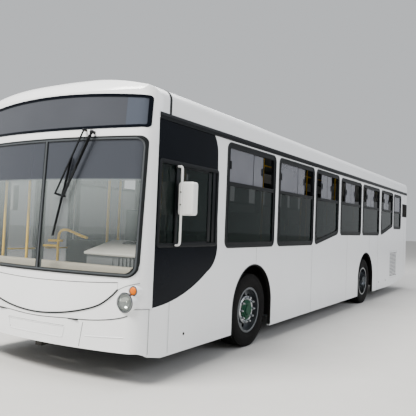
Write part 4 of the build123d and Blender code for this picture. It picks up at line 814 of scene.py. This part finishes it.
# End of the bus, axle, distances out of its tyres
WHEEL_ROWS = [("front", FRONT_AXLE_X, (1.0975,)), ("rear", REAR_AXLE_X, (1.0975, 0.7845))]
for end, wheel_x, tyre_places in WHEEL_ROWS:
    for name, side in (("left", 1), ("right", -1)):
        rubber, blocks = bmesh.new(), bmesh.new()
        for out in tyre_places:
            centre = (wheel_x, side * out, AXLE_Z)
            section = TYRE_HALF + [(radius, -reach) for radius, reach in reversed(TYRE_HALF[:-1])]
            turned(rubber, section + section[:1], centre, (0, 1, 0), TREAD_PITCH)
            for k in range(TREAD_PITCH):
                turn = Matrix.Translation(centre) @ Matrix.Rotation(2 * pi * k / TREAD_PITCH, 4, "Y")
                for reach in (0.1005, -0.1005):
                    lug = cuboid(blocks, (-0.0105, reach - 0.0165, 0.462), (0.0105, reach + 0.0165, 0.4785))
                    bmesh.ops.transform(blocks, matrix=turn, verts=lug)
        merge_into(rubber, blocks)
        tyre = settle(f"tyre_tread_{end}_{name}", rubber, tyre_rubber, f"wheel_{end}_{name}",
                      sharp=35)
        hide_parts(f"tyre_{end}_{name}")


# Wheels: polished forged aluminium discs with ten round hand holes, ten long bright nuts on
# studs, and a cast hub with a dark green painted cap.
# Polished by hand: bright, with soft clouds where road film has dulled it.
polished_aluminium = mottled("polished_aluminium", "C4C7CA", "A3A6A8", 14.0, 0.14, 0.26, metallic=1.0)
# The front rims and every wheel's lip are the same aluminium painted greyer and softer: a painted shade for
# the deep channel between lip and disc, so the disc stands out.
rim_painted_shade_aluminium = mottled("rim_painted_shade_aluminium", "5C6063", "7A7D80", 45.0, 0.32, 0.48, 0.1, 0.0004,
                             metallic=1.0)
# Painted shade: the front rims take the darker aluminium.
paint_nodes(rim_painted_shade_aluminium, "rim_front_left", "rim_front_right")
paint_nodes(polished_aluminium, "rim_rear_left", "rim_rear_right")
# Zinc-plated steel: pale, cool, a little cloudy.
bright_nut = mottled("plated_steel_nut", "C2C5C8", "A5A9AD", 70.0, 0.20, 0.34, metallic=1.0)
# Hub enamel: brushed on, dark green, semi-gloss over the casting.
hub_enamel = mottled("dark_green_hub_enamel", "083321", "0D4630", 35.0, 0.40, 0.60, 0.2, 0.0006, specular=0.2)
NUT_CIRCLE = 0.160
NUT_PROFILE = [(0.0, 0.0), (0.021, 0.0), (0.021, 0.004), (0.0155, 0.006), (0.0155, 0.030), (0.012, 0.034),
               (0.010, 0.034), (0.010, 0.044), (0.0, 0.045)]
LIP_PROFILE = [(0.284, 0.094), (0.286, 0.116), (0.291, 0.1195), (0.2965, 0.118), (0.2985, 0.112),
               (0.2985, 0.1045)]
# Distance out of the disc, height of its boss, height of the hub cap over the disc, the cap's finish
DISC_ROWS = {"front": (1.1375, 0.046, 0.060, hub_enamel), "rear": (0.941, 0.0, 0.150, polished_aluminium)}
for end, wheel_x, tyre_places in WHEEL_ROWS:
    disc_y, boss, cap_out, cap_finish = DISC_ROWS[end]
    for name, side in (("left", 1), ("right", -1)):
        body, way = f"wheel_{end}_{name}", (0, side, 0)
        nuts, hub, lips = (bmesh.new() for _ in range(3))
        for k in range(10):
            turn = 2 * pi * k / 10
            centre = (wheel_x + NUT_CIRCLE * cos(turn), side * (disc_y + boss),
                      AXLE_Z + NUT_CIRCLE * sin(turn))
            turned(nuts, NUT_PROFILE, centre, way, 12)
        settle(f"wheel_nuts_{end}_{name}", nuts, bright_nut, body, sharp=35)
        near = boss - cap_out
        turned(hub, [(0.134, near - 0.006), (0.134, near + 0.006), (0.128, near + 0.010),
                     (0.112, near + 0.011), (0.107, near + 0.016), (0.1065, max(near + 0.02, -0.004)),
                     (0.102, max(near + 0.024, 0.001)), (0.080, 0.012), (0.079, 0.020), (0.074, 0.0275),
                     (0.060, 0.030), (0.050, 0.0275), (0.0, 0.028)],
               (wheel_x, side * (disc_y + cap_out), AXLE_Z), way)
        settle(f"hub_cap_{end}_{name}", hub, cap_finish, body)
        turned(lips, LIP_PROFILE, (wheel_x, side * tyre_places[0], AXLE_Z), way, 72)
        # The lip takes the darker aluminium as painted shade.
        settle(f"wheel_lip_{end}_{name}", lips, rim_painted_shade_aluminium, body, sharp=50)
        if boss:
            flange = bmesh.new()
            turned(flange, [(0.192, -0.002), (0.190, 0.010), (0.186, 0.036), (0.181, 0.044), (0.174, boss),
                            (0.136, boss), (0.132, boss - 0.004), (0.130, 0.0)],
                   (wheel_x, side * disc_y, AXLE_Z), way, 72)
            settle(f"wheel_flange_{end}_{name}", flange, polished_aluminium, body, sharp=50)


# Side panels: bonded sheets with sealed upright joints, a rubber extrusion round each wheel arch,
# and black moulded liners inside the arches. High at each rear corner sits a black air intake.
def arch_line(x, reach, centre_z, foot):
    """Points (along, height) up one side of a wheel arch, round its top and down the other side."""
    curve = [(x - reach * cos(pi * k / 32), centre_z + reach * sin(pi * k / 32)) for k in range(33)]
    return [(x - reach, foot), *curve, (x + reach, foot)]


# Moulded black plastic, matt, with a brown-grey veil of road dirt.
liner_plastic = mottled("black_arch_liner", "09090A", "1C1A17", 7.0, 0.65, 0.85, 0.2, 0.002, specular=0.15)
# Gunned sealant in the joints: soft grey, dull, slightly uneven.
joint_sealant = mottled("grey_joint_sealant", "595B60", "6A6C70", 25.0, 0.55, 0.75, 0.3, 0.001)
# Arches: middle, radius, centre height, half length and top of the housing, foot of the panels
ARCH_ROWS = [(FRONT_AXLE_X, 0.538, 0.540, 0.575, 1.095, 0.222),
             (REAR_AXLE_X, 0.553, 0.544, 0.575, 1.110, 0.206)]
# Upright joints: place, low end, top; on the right the front doorway takes the first one's place
JOINT_ROWS = [(5.376, 0.27, 0.79), (3.456, 1.090, 1.31), (1.416, 0.215, 1.31), (-0.473, 0.210, 1.48),
              (-2.085, 1.110, 1.48), (-2.820, 0.210, 1.48), (-5.640, 0.420, 2.65)]
LINER_THICKNESS = 0.003
joints, arch_lips, liners = (bmesh.new() for _ in range(3))
for side in (1, -1):
    for x, low_z, high_z in JOINT_ROWS if side > 0 else JOINT_ROWS[1:]:
        cuboid(joints, (x - 0.0022, side * 1.270, low_z), (x + 0.0022, side * 1.2756, high_z))
    for x, radius, centre_z, half, top, foot in ARCH_ROWS:
        lip_line = arch_line(x, radius + 0.006, centre_z, foot)
        piping(arch_lips, [(px, side * (SKIN_Y + 0.0005), pz) for px, pz in lip_line], 0.0075, smooth=False)
        inner_y, outer_y = side * 0.632, side * 1.233
        cuboid(liners, (x - half, inner_y, top - LINER_THICKNESS), (x + half, outer_y, top))
        for end_x, way in ((x - half, 1), (x + half, -1)):
            cuboid(liners, (end_x, inner_y, 0.345), (end_x + way * LINER_THICKNESS, outer_y, top))
        cuboid(liners, (x - half, inner_y, 0.60), (x + half, inner_y + side * LINER_THICKNESS, top))
        cover = bmesh.new()
        cover_line = arch_line(x, radius - 0.0015, centre_z, foot)
        rows = [[cover.verts.new((px, side * y, pz)) for px, pz in cover_line] for y in (1.2345, 1.2752)]
        for corners in zip(rows[0], rows[0][1:], rows[1][1:], rows[1]):
            cover.faces.new(corners)
        bmesh.ops.recalc_face_normals(cover, faces=cover.faces)
        bmesh.ops.solidify(cover, geom=cover.faces[:], thickness=0.001)
        merge_into(liners, cover)
settle("panel_joint_sealant", joints, joint_sealant, "root")
settle("arch_edge_rubbers", arch_lips, sealing_rubber, "root")
settle("arch_liners", liners, liner_plastic, "root")
intake = bmesh.new()
for side in (1, -1):
    rounded_ring(intake, oblong(1, side * 1.270, (-5.36, 2.014), (-5.908, 2.373)), 0.02, 0.022, 0.013,
                 (0, side, 0))
    cuboid(intake, (-5.90, side * 1.2755, 2.02), (-5.37, side * 1.2765, 2.365))
    for k in range(11):
        cuboid(intake, (-5.89, side * 1.2760, 2.046 + 0.029 * k), (-5.38, side * 1.2815, 2.055 + 0.029 * k))
settle("rear_air_intakes", intake, liner_plastic, "root", bevel=0.001)
locks = bmesh.new()
for x, z in ((-2.979, 0.378), (-3.62, 0.378), (5.10, 0.42)):
    turned(locks, [(0.0, 0.005), (0.012, 0.005), (0.016, 0.003), (0.016, 0.0)], (x, SKIN_Y, z), (0, 1, 0), 16)
settle("panel_locks", locks, powder_coat, "root")


# Radiator door and engine lid: framed grilles of white sheet with pressed slots, quarter-turn locks
# and a recessed handle. Behind the first shows the radiator's dark core.
core_paint = surface("dark_radiator_core", "0E0F10", 0.55, 0.3)
emboss(core_paint, "ShaderNodeTexWave", 60.0, 0.6, 0.002, bands_direction="Z")
paint_nodes(core_paint, "radiator")
# The mesh behind the slots: fine black wire, drawn as a slightly rough black sheet.
grille_mesh = mottled("black_wire_mesh", "08090A", "1E2022", 220.0, 0.60, 0.85, 0.6, 0.001, specular=0.2)
# Outer face of the rear
REAR_X = -6.0
grille_fittings, lid_fittings, louvres = (bmesh.new() for _ in range(3))
for z in (0.450, 1.045):
    turned(grille_fittings, [(0.0, 0.004), (0.011, 0.004), (0.014, 0.002), (0.014, 0.0)], (-4.745, SKIN_Y, z),
           (0, 1, 0), 16)
for column in range(-3, 4):
    for row in range(-8, 9):
        x, z = -4.3775 + 0.097 * column, 0.7475 + 0.036 * row
        cuboid(grille_fittings, (x - 0.0395, 1.262, z - 0.0095), (x + 0.0395, 1.2735, z + 0.0095))
settle("radiator_door_fittings", grille_fittings, grille_mesh, "body_radiator_door")
for y in (-0.62, 0.62):
    turned(lid_fittings, [(0.0, 0.004), (0.013, 0.004), (0.016, 0.002), (0.016, 0.0)], (REAR_X, y, 0.815),
           (-1, 0, 0), 16)
rounded_ring(lid_fittings, oblong(0, REAR_X + 0.002, (-0.11, 0.795), (0.11, 0.855)), 0.015, 0.008, 0.008,
             (-1, 0, 0))
grip_line = [(REAR_X, -0.07), (REAR_X - 0.012, -0.06), (REAR_X - 0.012, 0.06), (REAR_X, 0.07)]
piping(lid_fittings, [(x, y, 0.825) for x, y in grip_line], 0.005)
settle("engine_lid_fittings", lid_fittings, powder_coat, "body_engine_lid", bevel=0.0008)
for y in (-0.31, 0.31):
    for k in range(13):
        z = 0.86 + 0.04 * k
        cuboid(louvres, (REAR_X - 0.006, y - 0.27, z + 0.008), (REAR_X + 0.004, y + 0.27, z + 0.012))
settle("engine_lid_louvres", louvres, coach_enamel, "body_engine_lid", bevel=0.001)


# Rear end: a bonded rear pane in a rubber surround, columns of round lamps in chromed rings, a
# shallow recess for a plate, a black rubbing strip on the bumper and a steel tail pipe below.
# Moulded red acrylic: deep, clear, glossy, with rings pressed into its back.
red_acrylic = surface("moulded_red_acrylic", "8E0E12", 0.12, Coat_Weight=0.7, Coat_Roughness=0.03)
emboss(red_acrylic, "ShaderNodeTexVoronoi", 90.0, 0.25, 0.001, "Distance")
rear_trim, plate_recess, lamp_rims, red_lenses, turn_lenses = (bmesh.new() for _ in range(5))
rounded_ring(rear_trim, oblong(0, REAR_X + 0.002, (-0.905, 1.735), (0.905, 2.505)), 0.10, 0.045, 0.0065,
             (-1, 0, 0), steps=8)
cuboid(rear_trim, (REAR_X - 0.0245, -1.05, 0.470), (REAR_X - 0.0190, 1.05, 0.515))
settle("rear_rubbers", rear_trim, sealing_rubber, "root", bevel=0.0006)
rounded_ring(plate_recess, oblong(0, REAR_X + 0.001, (-0.275, 0.620), (0.275, 0.742)), 0.015, 0.010,
             0.005, (-1, 0, 0))
settle("plate_recess_edge", plate_recess, coach_enamel, "root", bevel=0.0015)
for side in (1, -1):
    for z, lenses in ((0.880, red_lenses), (1.030, red_lenses), (1.180, turn_lenses)):
        centre = (REAR_X, side * 1.120, z)
        turned(lamp_rims, [(0.062, -0.036), (0.062, 0.001), (0.059, 0.004), (0.054, 0.003), (0.052, -0.002)],
               centre, (-1, 0, 0))
        turned(lenses, [(0.053, -0.003), (0.049, 0.005), (0.036, 0.010), (0.018, 0.0125), (0.0, 0.013)],
               centre, (-1, 0, 0))
rims_piece = settle("tail_lamp_rings", lamp_rims, chrome, "root")
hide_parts("tail_lamps")
settle("tail_lamp_lenses", red_lenses, red_acrylic, "root", sharp=60)
settle("rear_amber_lenses", turn_lenses, amber_plastic, "root", sharp=60)


# Roof hatches: two white moulded lids set in the roof, stiffened by pressed ribs. Each closes on a
# thick rubber gasket.
hatch_trim, hatch_ribs = bmesh.new(), bmesh.new()
hatch_top = Vector(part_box("roof_hatches")[1]).z
for x in (2.150, -3.100):
    rounded_ring(hatch_trim, oblong(2, 3.080, (x - 0.362, -0.332), (x + 0.362, 0.332)), 0.05, 0.018, 0.030,
                 (0, 0, 1))
    for y in (-0.18, 0.0, 0.18):
        cuboid(hatch_ribs, (x - 0.26, y - 0.02, hatch_top - 0.006), (x + 0.26, y + 0.02, hatch_top - 0.0002))
settle("hatch_gaskets", hatch_trim, sealing_rubber, "root", bevel=0.002)
settle("hatch_ribs", hatch_ribs, coach_enamel, "root", bevel=0.003)


# Underframe and axles: welded steel sprayed with dull black wax, dusty below; the engine is bare
# grey iron. Rubber air springs sit at the axles.
wax_coat = mottled("waxed_chassis_black", "121212", "35322C", 5.0, 0.50, 0.80, 0.2, 0.001, specular=0.3)
paint_nodes(wax_coat, "chassis_frame", "front_axle", "rear_axle", "knuckle_left", "knuckle_right")
# Sand-cast iron, oil-darkened: a rough grey with a half-metal sheen.
cast_iron = mottled("cast_iron_engine", "444543", "56534C", 30.0, 0.55, 0.75, 0.3, 0.003, metallic=0.4)
paint_nodes(cast_iron, "engine_block")
# Heat-stained steel: straw brown in patches, grey between them.
stained_steel = mottled("heat_stained_steel", "7C7468", "5B4B3D", 12.0, 0.30, 0.60, 0.1, 0.0006, metallic=1.0)
BELLOWS_PROFILE = [(0.0, 0.0), (0.075, 0.0), (0.085, 0.010), (0.080, 0.035), (0.092, 0.055), (0.080, 0.075),
                   (0.070, 0.085), (0.0, 0.085)]
bellows, tail_pipe = bmesh.new(), bmesh.new()
for axle_x, foot_z in ((FRONT_AXLE_X, 0.250), (REAR_AXLE_X, 0.500)):
    for x in (axle_x - 0.30, axle_x + 0.30):
        for y in (0.40, -0.40):
            turned(bellows, BELLOWS_PROFILE, (x, y, foot_z), (0, 0, 1), 24)
settle("air_springs", bellows, liner_plastic, "root")
piping(tail_pipe, [(x, -0.55, z) for x, z in ((-5.50, 0.44), (-5.70, 0.44), (-5.82, 0.40), (-5.93, 0.34))],
       0.038, rounds=5)
settle("tail_pipe", tail_pipe, stained_steel, "root")


# Saloon floor and lining: speckled slip-resistant vinyl on both levels of the floor, and a
# laminate lining bonded to the walls and the roof, painted dark as a painted shade for the dim saloon.
floor_vinyl = surface("speckled_floor_vinyl", "4D5256", 0.6)
vinyl_place = add_node(floor_vinyl, "ShaderNodeTexCoord")
vinyl_flecks = add_node(floor_vinyl, "ShaderNodeTexVoronoi", {"Scale": 120.0},
                        {"Vector": vinyl_place.outputs["Object"]})
vinyl_share = add_node(floor_vinyl, "ShaderNodeMapRange",
                       {"From Min": 0.05, "From Max": 0.12, "To Min": 1.0, "To Max": 0.0},
                       {"Value": vinyl_flecks.outputs["Distance"]})
add_node(floor_vinyl, "ShaderNodeMix", {"A": linear("474C50"), "B": linear("8F9498")},
         {"Factor": vinyl_share.outputs["Result"]}, {"Result": "Base Color"}, data_type="RGBA")
paint_nodes(floor_vinyl, "low_floor", "high_floor")
# Lining: pressed laminate, matt, faintly mottled; its dark grey-green is a painted shade for the dim saloon,
# darker than such linings are.
saloon_lining_shade_paint = mottled("wall_lining_painted_shade", "29302E", "353D3B", 90.0, 0.55, 0.70, 0.1, 0.0004)
SALOON_MIDDLE = Vector((0, 0, 1.6))
for node, corner, opposite in (("roof_shell", (-6, -1.22, 2.64), (5.6, 1.22, 3.1)),
                               ("left_window_band", (-5.9, 1.0, 1.17), (5.6, 1.26, 2.66)),
                               ("right_window_band", (-5.9, -1.26, 1.17), (5.6, -1.0, 2.66)),
                               ("left_lower_wall", (-5.6, 1.0, 0.37), (5.6, 1.26, 1.18)),
                               ("right_lower_wall", (-5.6, -1.26, 0.37), (5.6, -1.0, 1.18)),
                               ("door_headers", (-5.6, -1.26, 2.31), (5.6, -1.0, 2.66))):
    lining = slice_of(node, corner, opposite)
    lining.normal_update()
    outward = [face for face in lining.faces
               if face.normal.yz.dot((SALOON_MIDDLE - face.calc_center_median()).yz.normalized()) < 0.5]
    bmesh.ops.delete(lining, geom=outward, context="FACES")
    for vert in lining.verts:
        vert.co += vert.normal * 0.0015
    bmesh.ops.solidify(lining, geom=lining.faces[:], thickness=-0.001)
    # The lining's dark colour is a painted shade.
    settle(f"{node}_lining", lining, saloon_lining_shade_paint, "root")


# Driver's place: a moulded pale grey dashboard with a raised instrument hood, a drawer front and a
# fluted end, a ticket machine on its stand, and a dark panel of switches.
dash_plastic = mottled("moulded_pale_grey_dashboard", "A9A8A0", "B4B3AB", 300.0, 0.45, 0.60, 0.2, 0.0005)
# Its lower front is the same grained plastic painted a darker grey: a painted shade under the instrument
# hood.
dash_front_painted_shade = mottled("dashboard_front_painted_shade_grey", "4E5152", "5A5D5E", 300.0, 0.45, 0.60, 0.2, 0.0005)
# Beige moulded ledge under the glass: matt, sun-faded, finely grained.
sill_plastic = mottled("beige_sill_moulding", "ADA695", "9E9786", 200.0, 0.55, 0.70, 0.2, 0.0004)
# Moulded grip: black, fine leather-like grain, shiny where it is held.
wheel_grip = mottled("moulded_wheel_grip", "101112", "191A1C", 160.0, 0.35, 0.55, 0.3, 0.0005, specular=0.3)
# The imported dashboard takes the darker grey of painted shade.
paint_nodes(dash_front_painted_shade, "dashboard")
paint_nodes(wheel_grip, "steering_wheel")
hood, drawers, machine, sill = (bmesh.new() for _ in range(4))
# The hood's top falls towards the glass
for vert in cuboid(hood, (5.240, 0.34, 1.232), (5.680, 1.17, 1.385)):
    if vert.co.x > 5.5 and vert.co.z > 1.3:
        vert.co.z = 1.262
settle("dashboard_hood", hood, dash_plastic, "root", bevel=0.010, segments=3)
cuboid(drawers, (5.300, 0.36, 1.075), (5.655, 1.16, 1.233))
cuboid(drawers, (5.650, 0.40, 1.105), (5.664, 0.74, 1.205))
cuboid(drawers, (5.62, 0.04, 0.36), (5.70, 0.30, 0.86))
for k in range(7):
    cuboid(drawers, (5.65, 0.80 + 0.05 * k, 0.96), (5.672, 0.825 + 0.05 * k, 1.215))
settle("dashboard_drawers", drawers, dash_front_painted_shade, "root", bevel=0.005)
cuboid(machine, (5.200, -0.34, 1.00), (5.275, 0.06, 1.36))
cuboid(machine, (5.215, -0.20, 0.36), (5.265, -0.10, 1.01))
cuboid(machine, (5.229, 0.50, 1.25), (5.242, 1.07, 1.35))
settle("ticket_machine", machine, powder_coat, "root", bevel=0.012, segments=3)
cuboid(sill, (5.675, -1.10, 1.000), (5.80, 1.10, 1.135))
settle("screen_sill_ledge", sill, sill_plastic, "root", bevel=0.008)


# Driver's seat: a sprung seat with crowned foam cushions in dark woven cloth, drawn in at the
# seams, on a grey pedestal.
seat_cloth = surface("woven_seat_cloth", "2C3138", 0.85, Sheen_Weight=0.3)
cloth_weave = emboss(seat_cloth, "ShaderNodeTexVoronoi", 260.0, 0.4, 0.001, "Distance")
add_node(seat_cloth, "ShaderNodeMix", {"A": linear("22262C"), "B": linear("3C434D")},
         {"Factor": cloth_weave.outputs["Distance"]}, {"Result": "Base Color"}, data_type="RGBA")


def foam_pad(name, low, high, crown, axis):
    """Makes a crowned foam pad between two corners: full in the middle, drawn in at its seams."""
    pad = bmesh.new()
    cuboid(pad, low, high)
    ease(pad, pad.edges[:], 0.02, 3)
    bmesh.ops.subdivide_edges(pad, edges=[edge for edge in pad.edges if edge.calc_length() > 0.05], cuts=7,
                              use_grid_fill=True)
    for vert in pad.verts:
        share = [(vert.co[k] - low[k]) / (high[k] - low[k]) * 2 - 1 for k in range(3)]
        if share[axis] > 0.8:
            swell = prod(1 - share[k] ** 4 for k in range(3) if k != axis)
            vert.co[axis] += crown * swell - 0.008 * (1 - swell)
    bmesh.ops.smooth_vert(pad, verts=pad.verts, factor=0.4, use_axis_x=True, use_axis_y=True, use_axis_z=True)
    piece = settle(name, pad, seat_cloth, "root", sharp=80)
    return piece


driver_cushion = foam_pad("driver_cushion", (4.465, 0.505, 0.735), (4.955, 0.955, 0.850), 0.018, 2)
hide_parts("driver_seat")
foam_pad("driver_backrest", (4.385, 0.525, 0.850), (4.485, 0.935, 1.470), 0.020, 0)
foam_pad("driver_headrest", (4.400, 0.625, 1.500), (4.470, 0.835, 1.635), 0.010, 0)
# Hammered grey paint on pressed steel: mid grey with a fine dimple.
pedestal_coat = mottled("hammered_grey_coat", "505355", "606365", 120.0, 0.40, 0.60, 0.3, 0.0006)
pedestal = bmesh.new()
cuboid(pedestal, (4.500, 0.57, 0.360), (4.880, 0.89, 0.420))
cuboid(pedestal, (4.540, 0.62, 0.420), (4.840, 0.84, 0.680))
cuboid(pedestal, (4.470, 0.515, 0.690), (4.945, 0.945, 0.740))
cuboid(pedestal, (4.385, 0.60, 0.72), (4.430, 0.86, 1.40))
for y in (0.68, 0.78):
    cuboid(pedestal, (4.428, y - 0.006, 1.40), (4.440, y + 0.006, 1.56))
settle("driver_seat_pedestal", pedestal, pedestal_coat, "root", bevel=0.008)


# Passenger seats: moulded shells in dark green plastic, two to a frame, each dished for the sitter,
# on steel plinths and with a grab handle on the aisle side of the back.
shell_plastic = mottled("moulded_green_seat_shell", "23403A", "2C4B40", 250.0, 0.35, 0.50, 0.2, 0.0005)
LOW_FLOOR_Z = 0.360
HIGH_FLOOR_Z = 0.720
# Middle of the cushion, floor height, sides with a pair, seat height, number of seats
SEAT_ROWS = [(2.450, LOW_FLOOR_Z, (1, -1), 0.400, 2), (1.650, LOW_FLOOR_Z, (1,), 0.400, 2),
             (0.850, LOW_FLOOR_Z, (1,), 0.400, 2), (3.500, 1.110, (1, -1), 0.120, 1),
             (-0.300, HIGH_FLOOR_Z, (1, -1), 0.400, 2), (-0.950, HIGH_FLOOR_Z, (1, -1), 0.400, 2),
             (-1.830, 1.125, (1, -1), 0.120, 1), (-2.700, HIGH_FLOOR_Z, (1, -1), 0.400, 2),
             (-3.400, HIGH_FLOOR_Z, (1, -1), 0.400, 2), (-4.100, HIGH_FLOOR_Z, (-1,), 0.400, 2),
             (-4.385, 1.140, (1,), 0.120, 1)]
WALL_SIDE_Y = 1.215
# A grab handle at the corner of a back: along from the cushion's middle, up from its top
HANDLE_LINE = [(-0.24, 0.365), (-0.20, 0.395), (-0.20, 0.525), (-0.23, 0.557), (-0.25, 0.545)]
cushions, backs, plinths, handles = (bmesh.new() for _ in range(4))
for x, floor_z, sides, lift, places in SEAT_ROWS:
    wide = 0.430 if places == 2 else 0.560
    aisle_side_y = WALL_SIDE_Y - wide * places
    top = floor_z + lift
    for side in sides:
        for k in range(places):
            outer = WALL_SIDE_Y - wide * k
            near, far = side * (outer - wide + 0.008), side * (outer - 0.008)
            for target, axis, dish, corner, opposite in (
                    (cushions, 2, (0, 0, -0.022), (x - 0.213, near, top - 0.058), (x + 0.213, far, top)),
                    (backs, 0, (-0.018, 0, 0), (x - 0.283, near, top - 0.05), (x - 0.216, far, top + 0.555))):
                shell = bmesh.new()
                cuboid(shell, corner, opposite)
                ease(shell, shell.edges[:], 0.022, 3)
                seat_face = max(shell.faces, key=lambda face: (round(face.calc_center_median()[axis], 4),
                                                               face.calc_area()))
                inset(shell, seat_face, 0.035)
                inset(shell, seat_face, 0.045)
                bmesh.ops.translate(shell, verts=seat_face.verts, vec=dish)
                merge_into(target, shell)
        cuboid(plinths, (x - 0.11, side * (aisle_side_y + 0.06), floor_z),
               (x + 0.11, side * 1.155, top - 0.058))
        handle_y = side * (aisle_side_y + 0.05)
        piping(handles, [(x + along, handle_y, top + up) for along, up in HANDLE_LINE], 0.010)
seat_cushions = settle("seat_cushion_shells", cushions, shell_plastic, "root", sharp=60)
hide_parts("seat_bases")
seat_shells = settle("seat_back_shells", backs, shell_plastic, "root", sharp=60)
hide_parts("seat_backs")
settle("seat_plinths", plinths, wax_coat, "root", bevel=0.006)
settle("seat_grab_handles", handles, rail_yellow, "root", sharp=60)


# Handrails: steel tube powder-coated yellow, upright from floor to ceiling with a flange at each
# foot, a ceiling rail on each side, and a bent guard rail beside the entrance.
paint_nodes(rail_yellow, "handrails")
# Foot of each upright pole: along the bus, to its side, height of the floor there
POLE_ROWS = [(4.700, -0.250, LOW_FLOOR_Z), (4.245, 0.240, LOW_FLOOR_Z), (4.150, -0.560, LOW_FLOOR_Z),
             (2.900, 0.330, LOW_FLOOR_Z), (2.900, -0.330, LOW_FLOOR_Z), (1.500, -0.480, LOW_FLOOR_Z),
             (1.400, 0.300, LOW_FLOOR_Z), (-0.060, 0.430, HIGH_FLOOR_Z), (-0.060, -0.430, HIGH_FLOOR_Z),
             (-2.300, 0.360, HIGH_FLOOR_Z), (-2.300, -0.360, HIGH_FLOOR_Z), (-3.790, 0.360, HIGH_FLOOR_Z),
             (-3.790, -0.360, HIGH_FLOOR_Z)]
CEILING_LINE = [(4.10, 2.92), (4.02, 2.86), (3.9, 2.86), (1.0, 2.86), (-1.0, 2.86), (-3.6, 2.86),
                (-3.72, 2.86), (-3.80, 2.92)]
GUARD_LINE = [(-0.470, 0.360), (-0.470, 0.80), (-0.472, 1.30), (-0.470, 1.44), (-0.400, 1.475),
              (-0.300, 1.470), (-0.180, 1.430), (-0.060, 1.400), (0.00, 1.390)]
BENT_RUNS = [
    *([(x, y, z) for x, z in CEILING_LINE] for y in (0.36, -0.36)),
    [(5.30, y, z) for y, z in GUARD_LINE],
    [(5.60, -0.66, 0.36), (5.60, -0.66, 1.20), (5.60, -0.66, 2.18), (5.60, -0.68, 2.25), (5.60, -0.75, 2.27),
     (5.61, -1.05, 2.27), (5.62, -1.235, 2.27)],
]
STRAIGHT_RUNS = [
    [(5.62, -1.055, 0.36), (5.62, -1.055, 1.30), (5.62, -1.055, 2.27)],
    [(5.30, -0.72, 1.265), (5.30, -0.60, 1.268), (5.30, -0.47, 1.272)],
    [(5.30, -0.635, 1.332), (5.30, -0.50, 1.335), (5.30, -0.41, 1.338)],
]
rails = bmesh.new()
for place in POLE_ROWS:
    turned(rails, [(0.017, 0.030), (0.024, 0.012), (0.042, 0.006), (0.042, 0.0)], place, (0, 0, 1), 20)
for runs, smooth in ((BENT_RUNS, True), (STRAIGHT_RUNS, False)):
    for points in runs:
        piping(rails, points, 0.016, rounds=3, smooth=smooth)
settle("saloon_rails", rails, rail_yellow, "root", sharp=60)
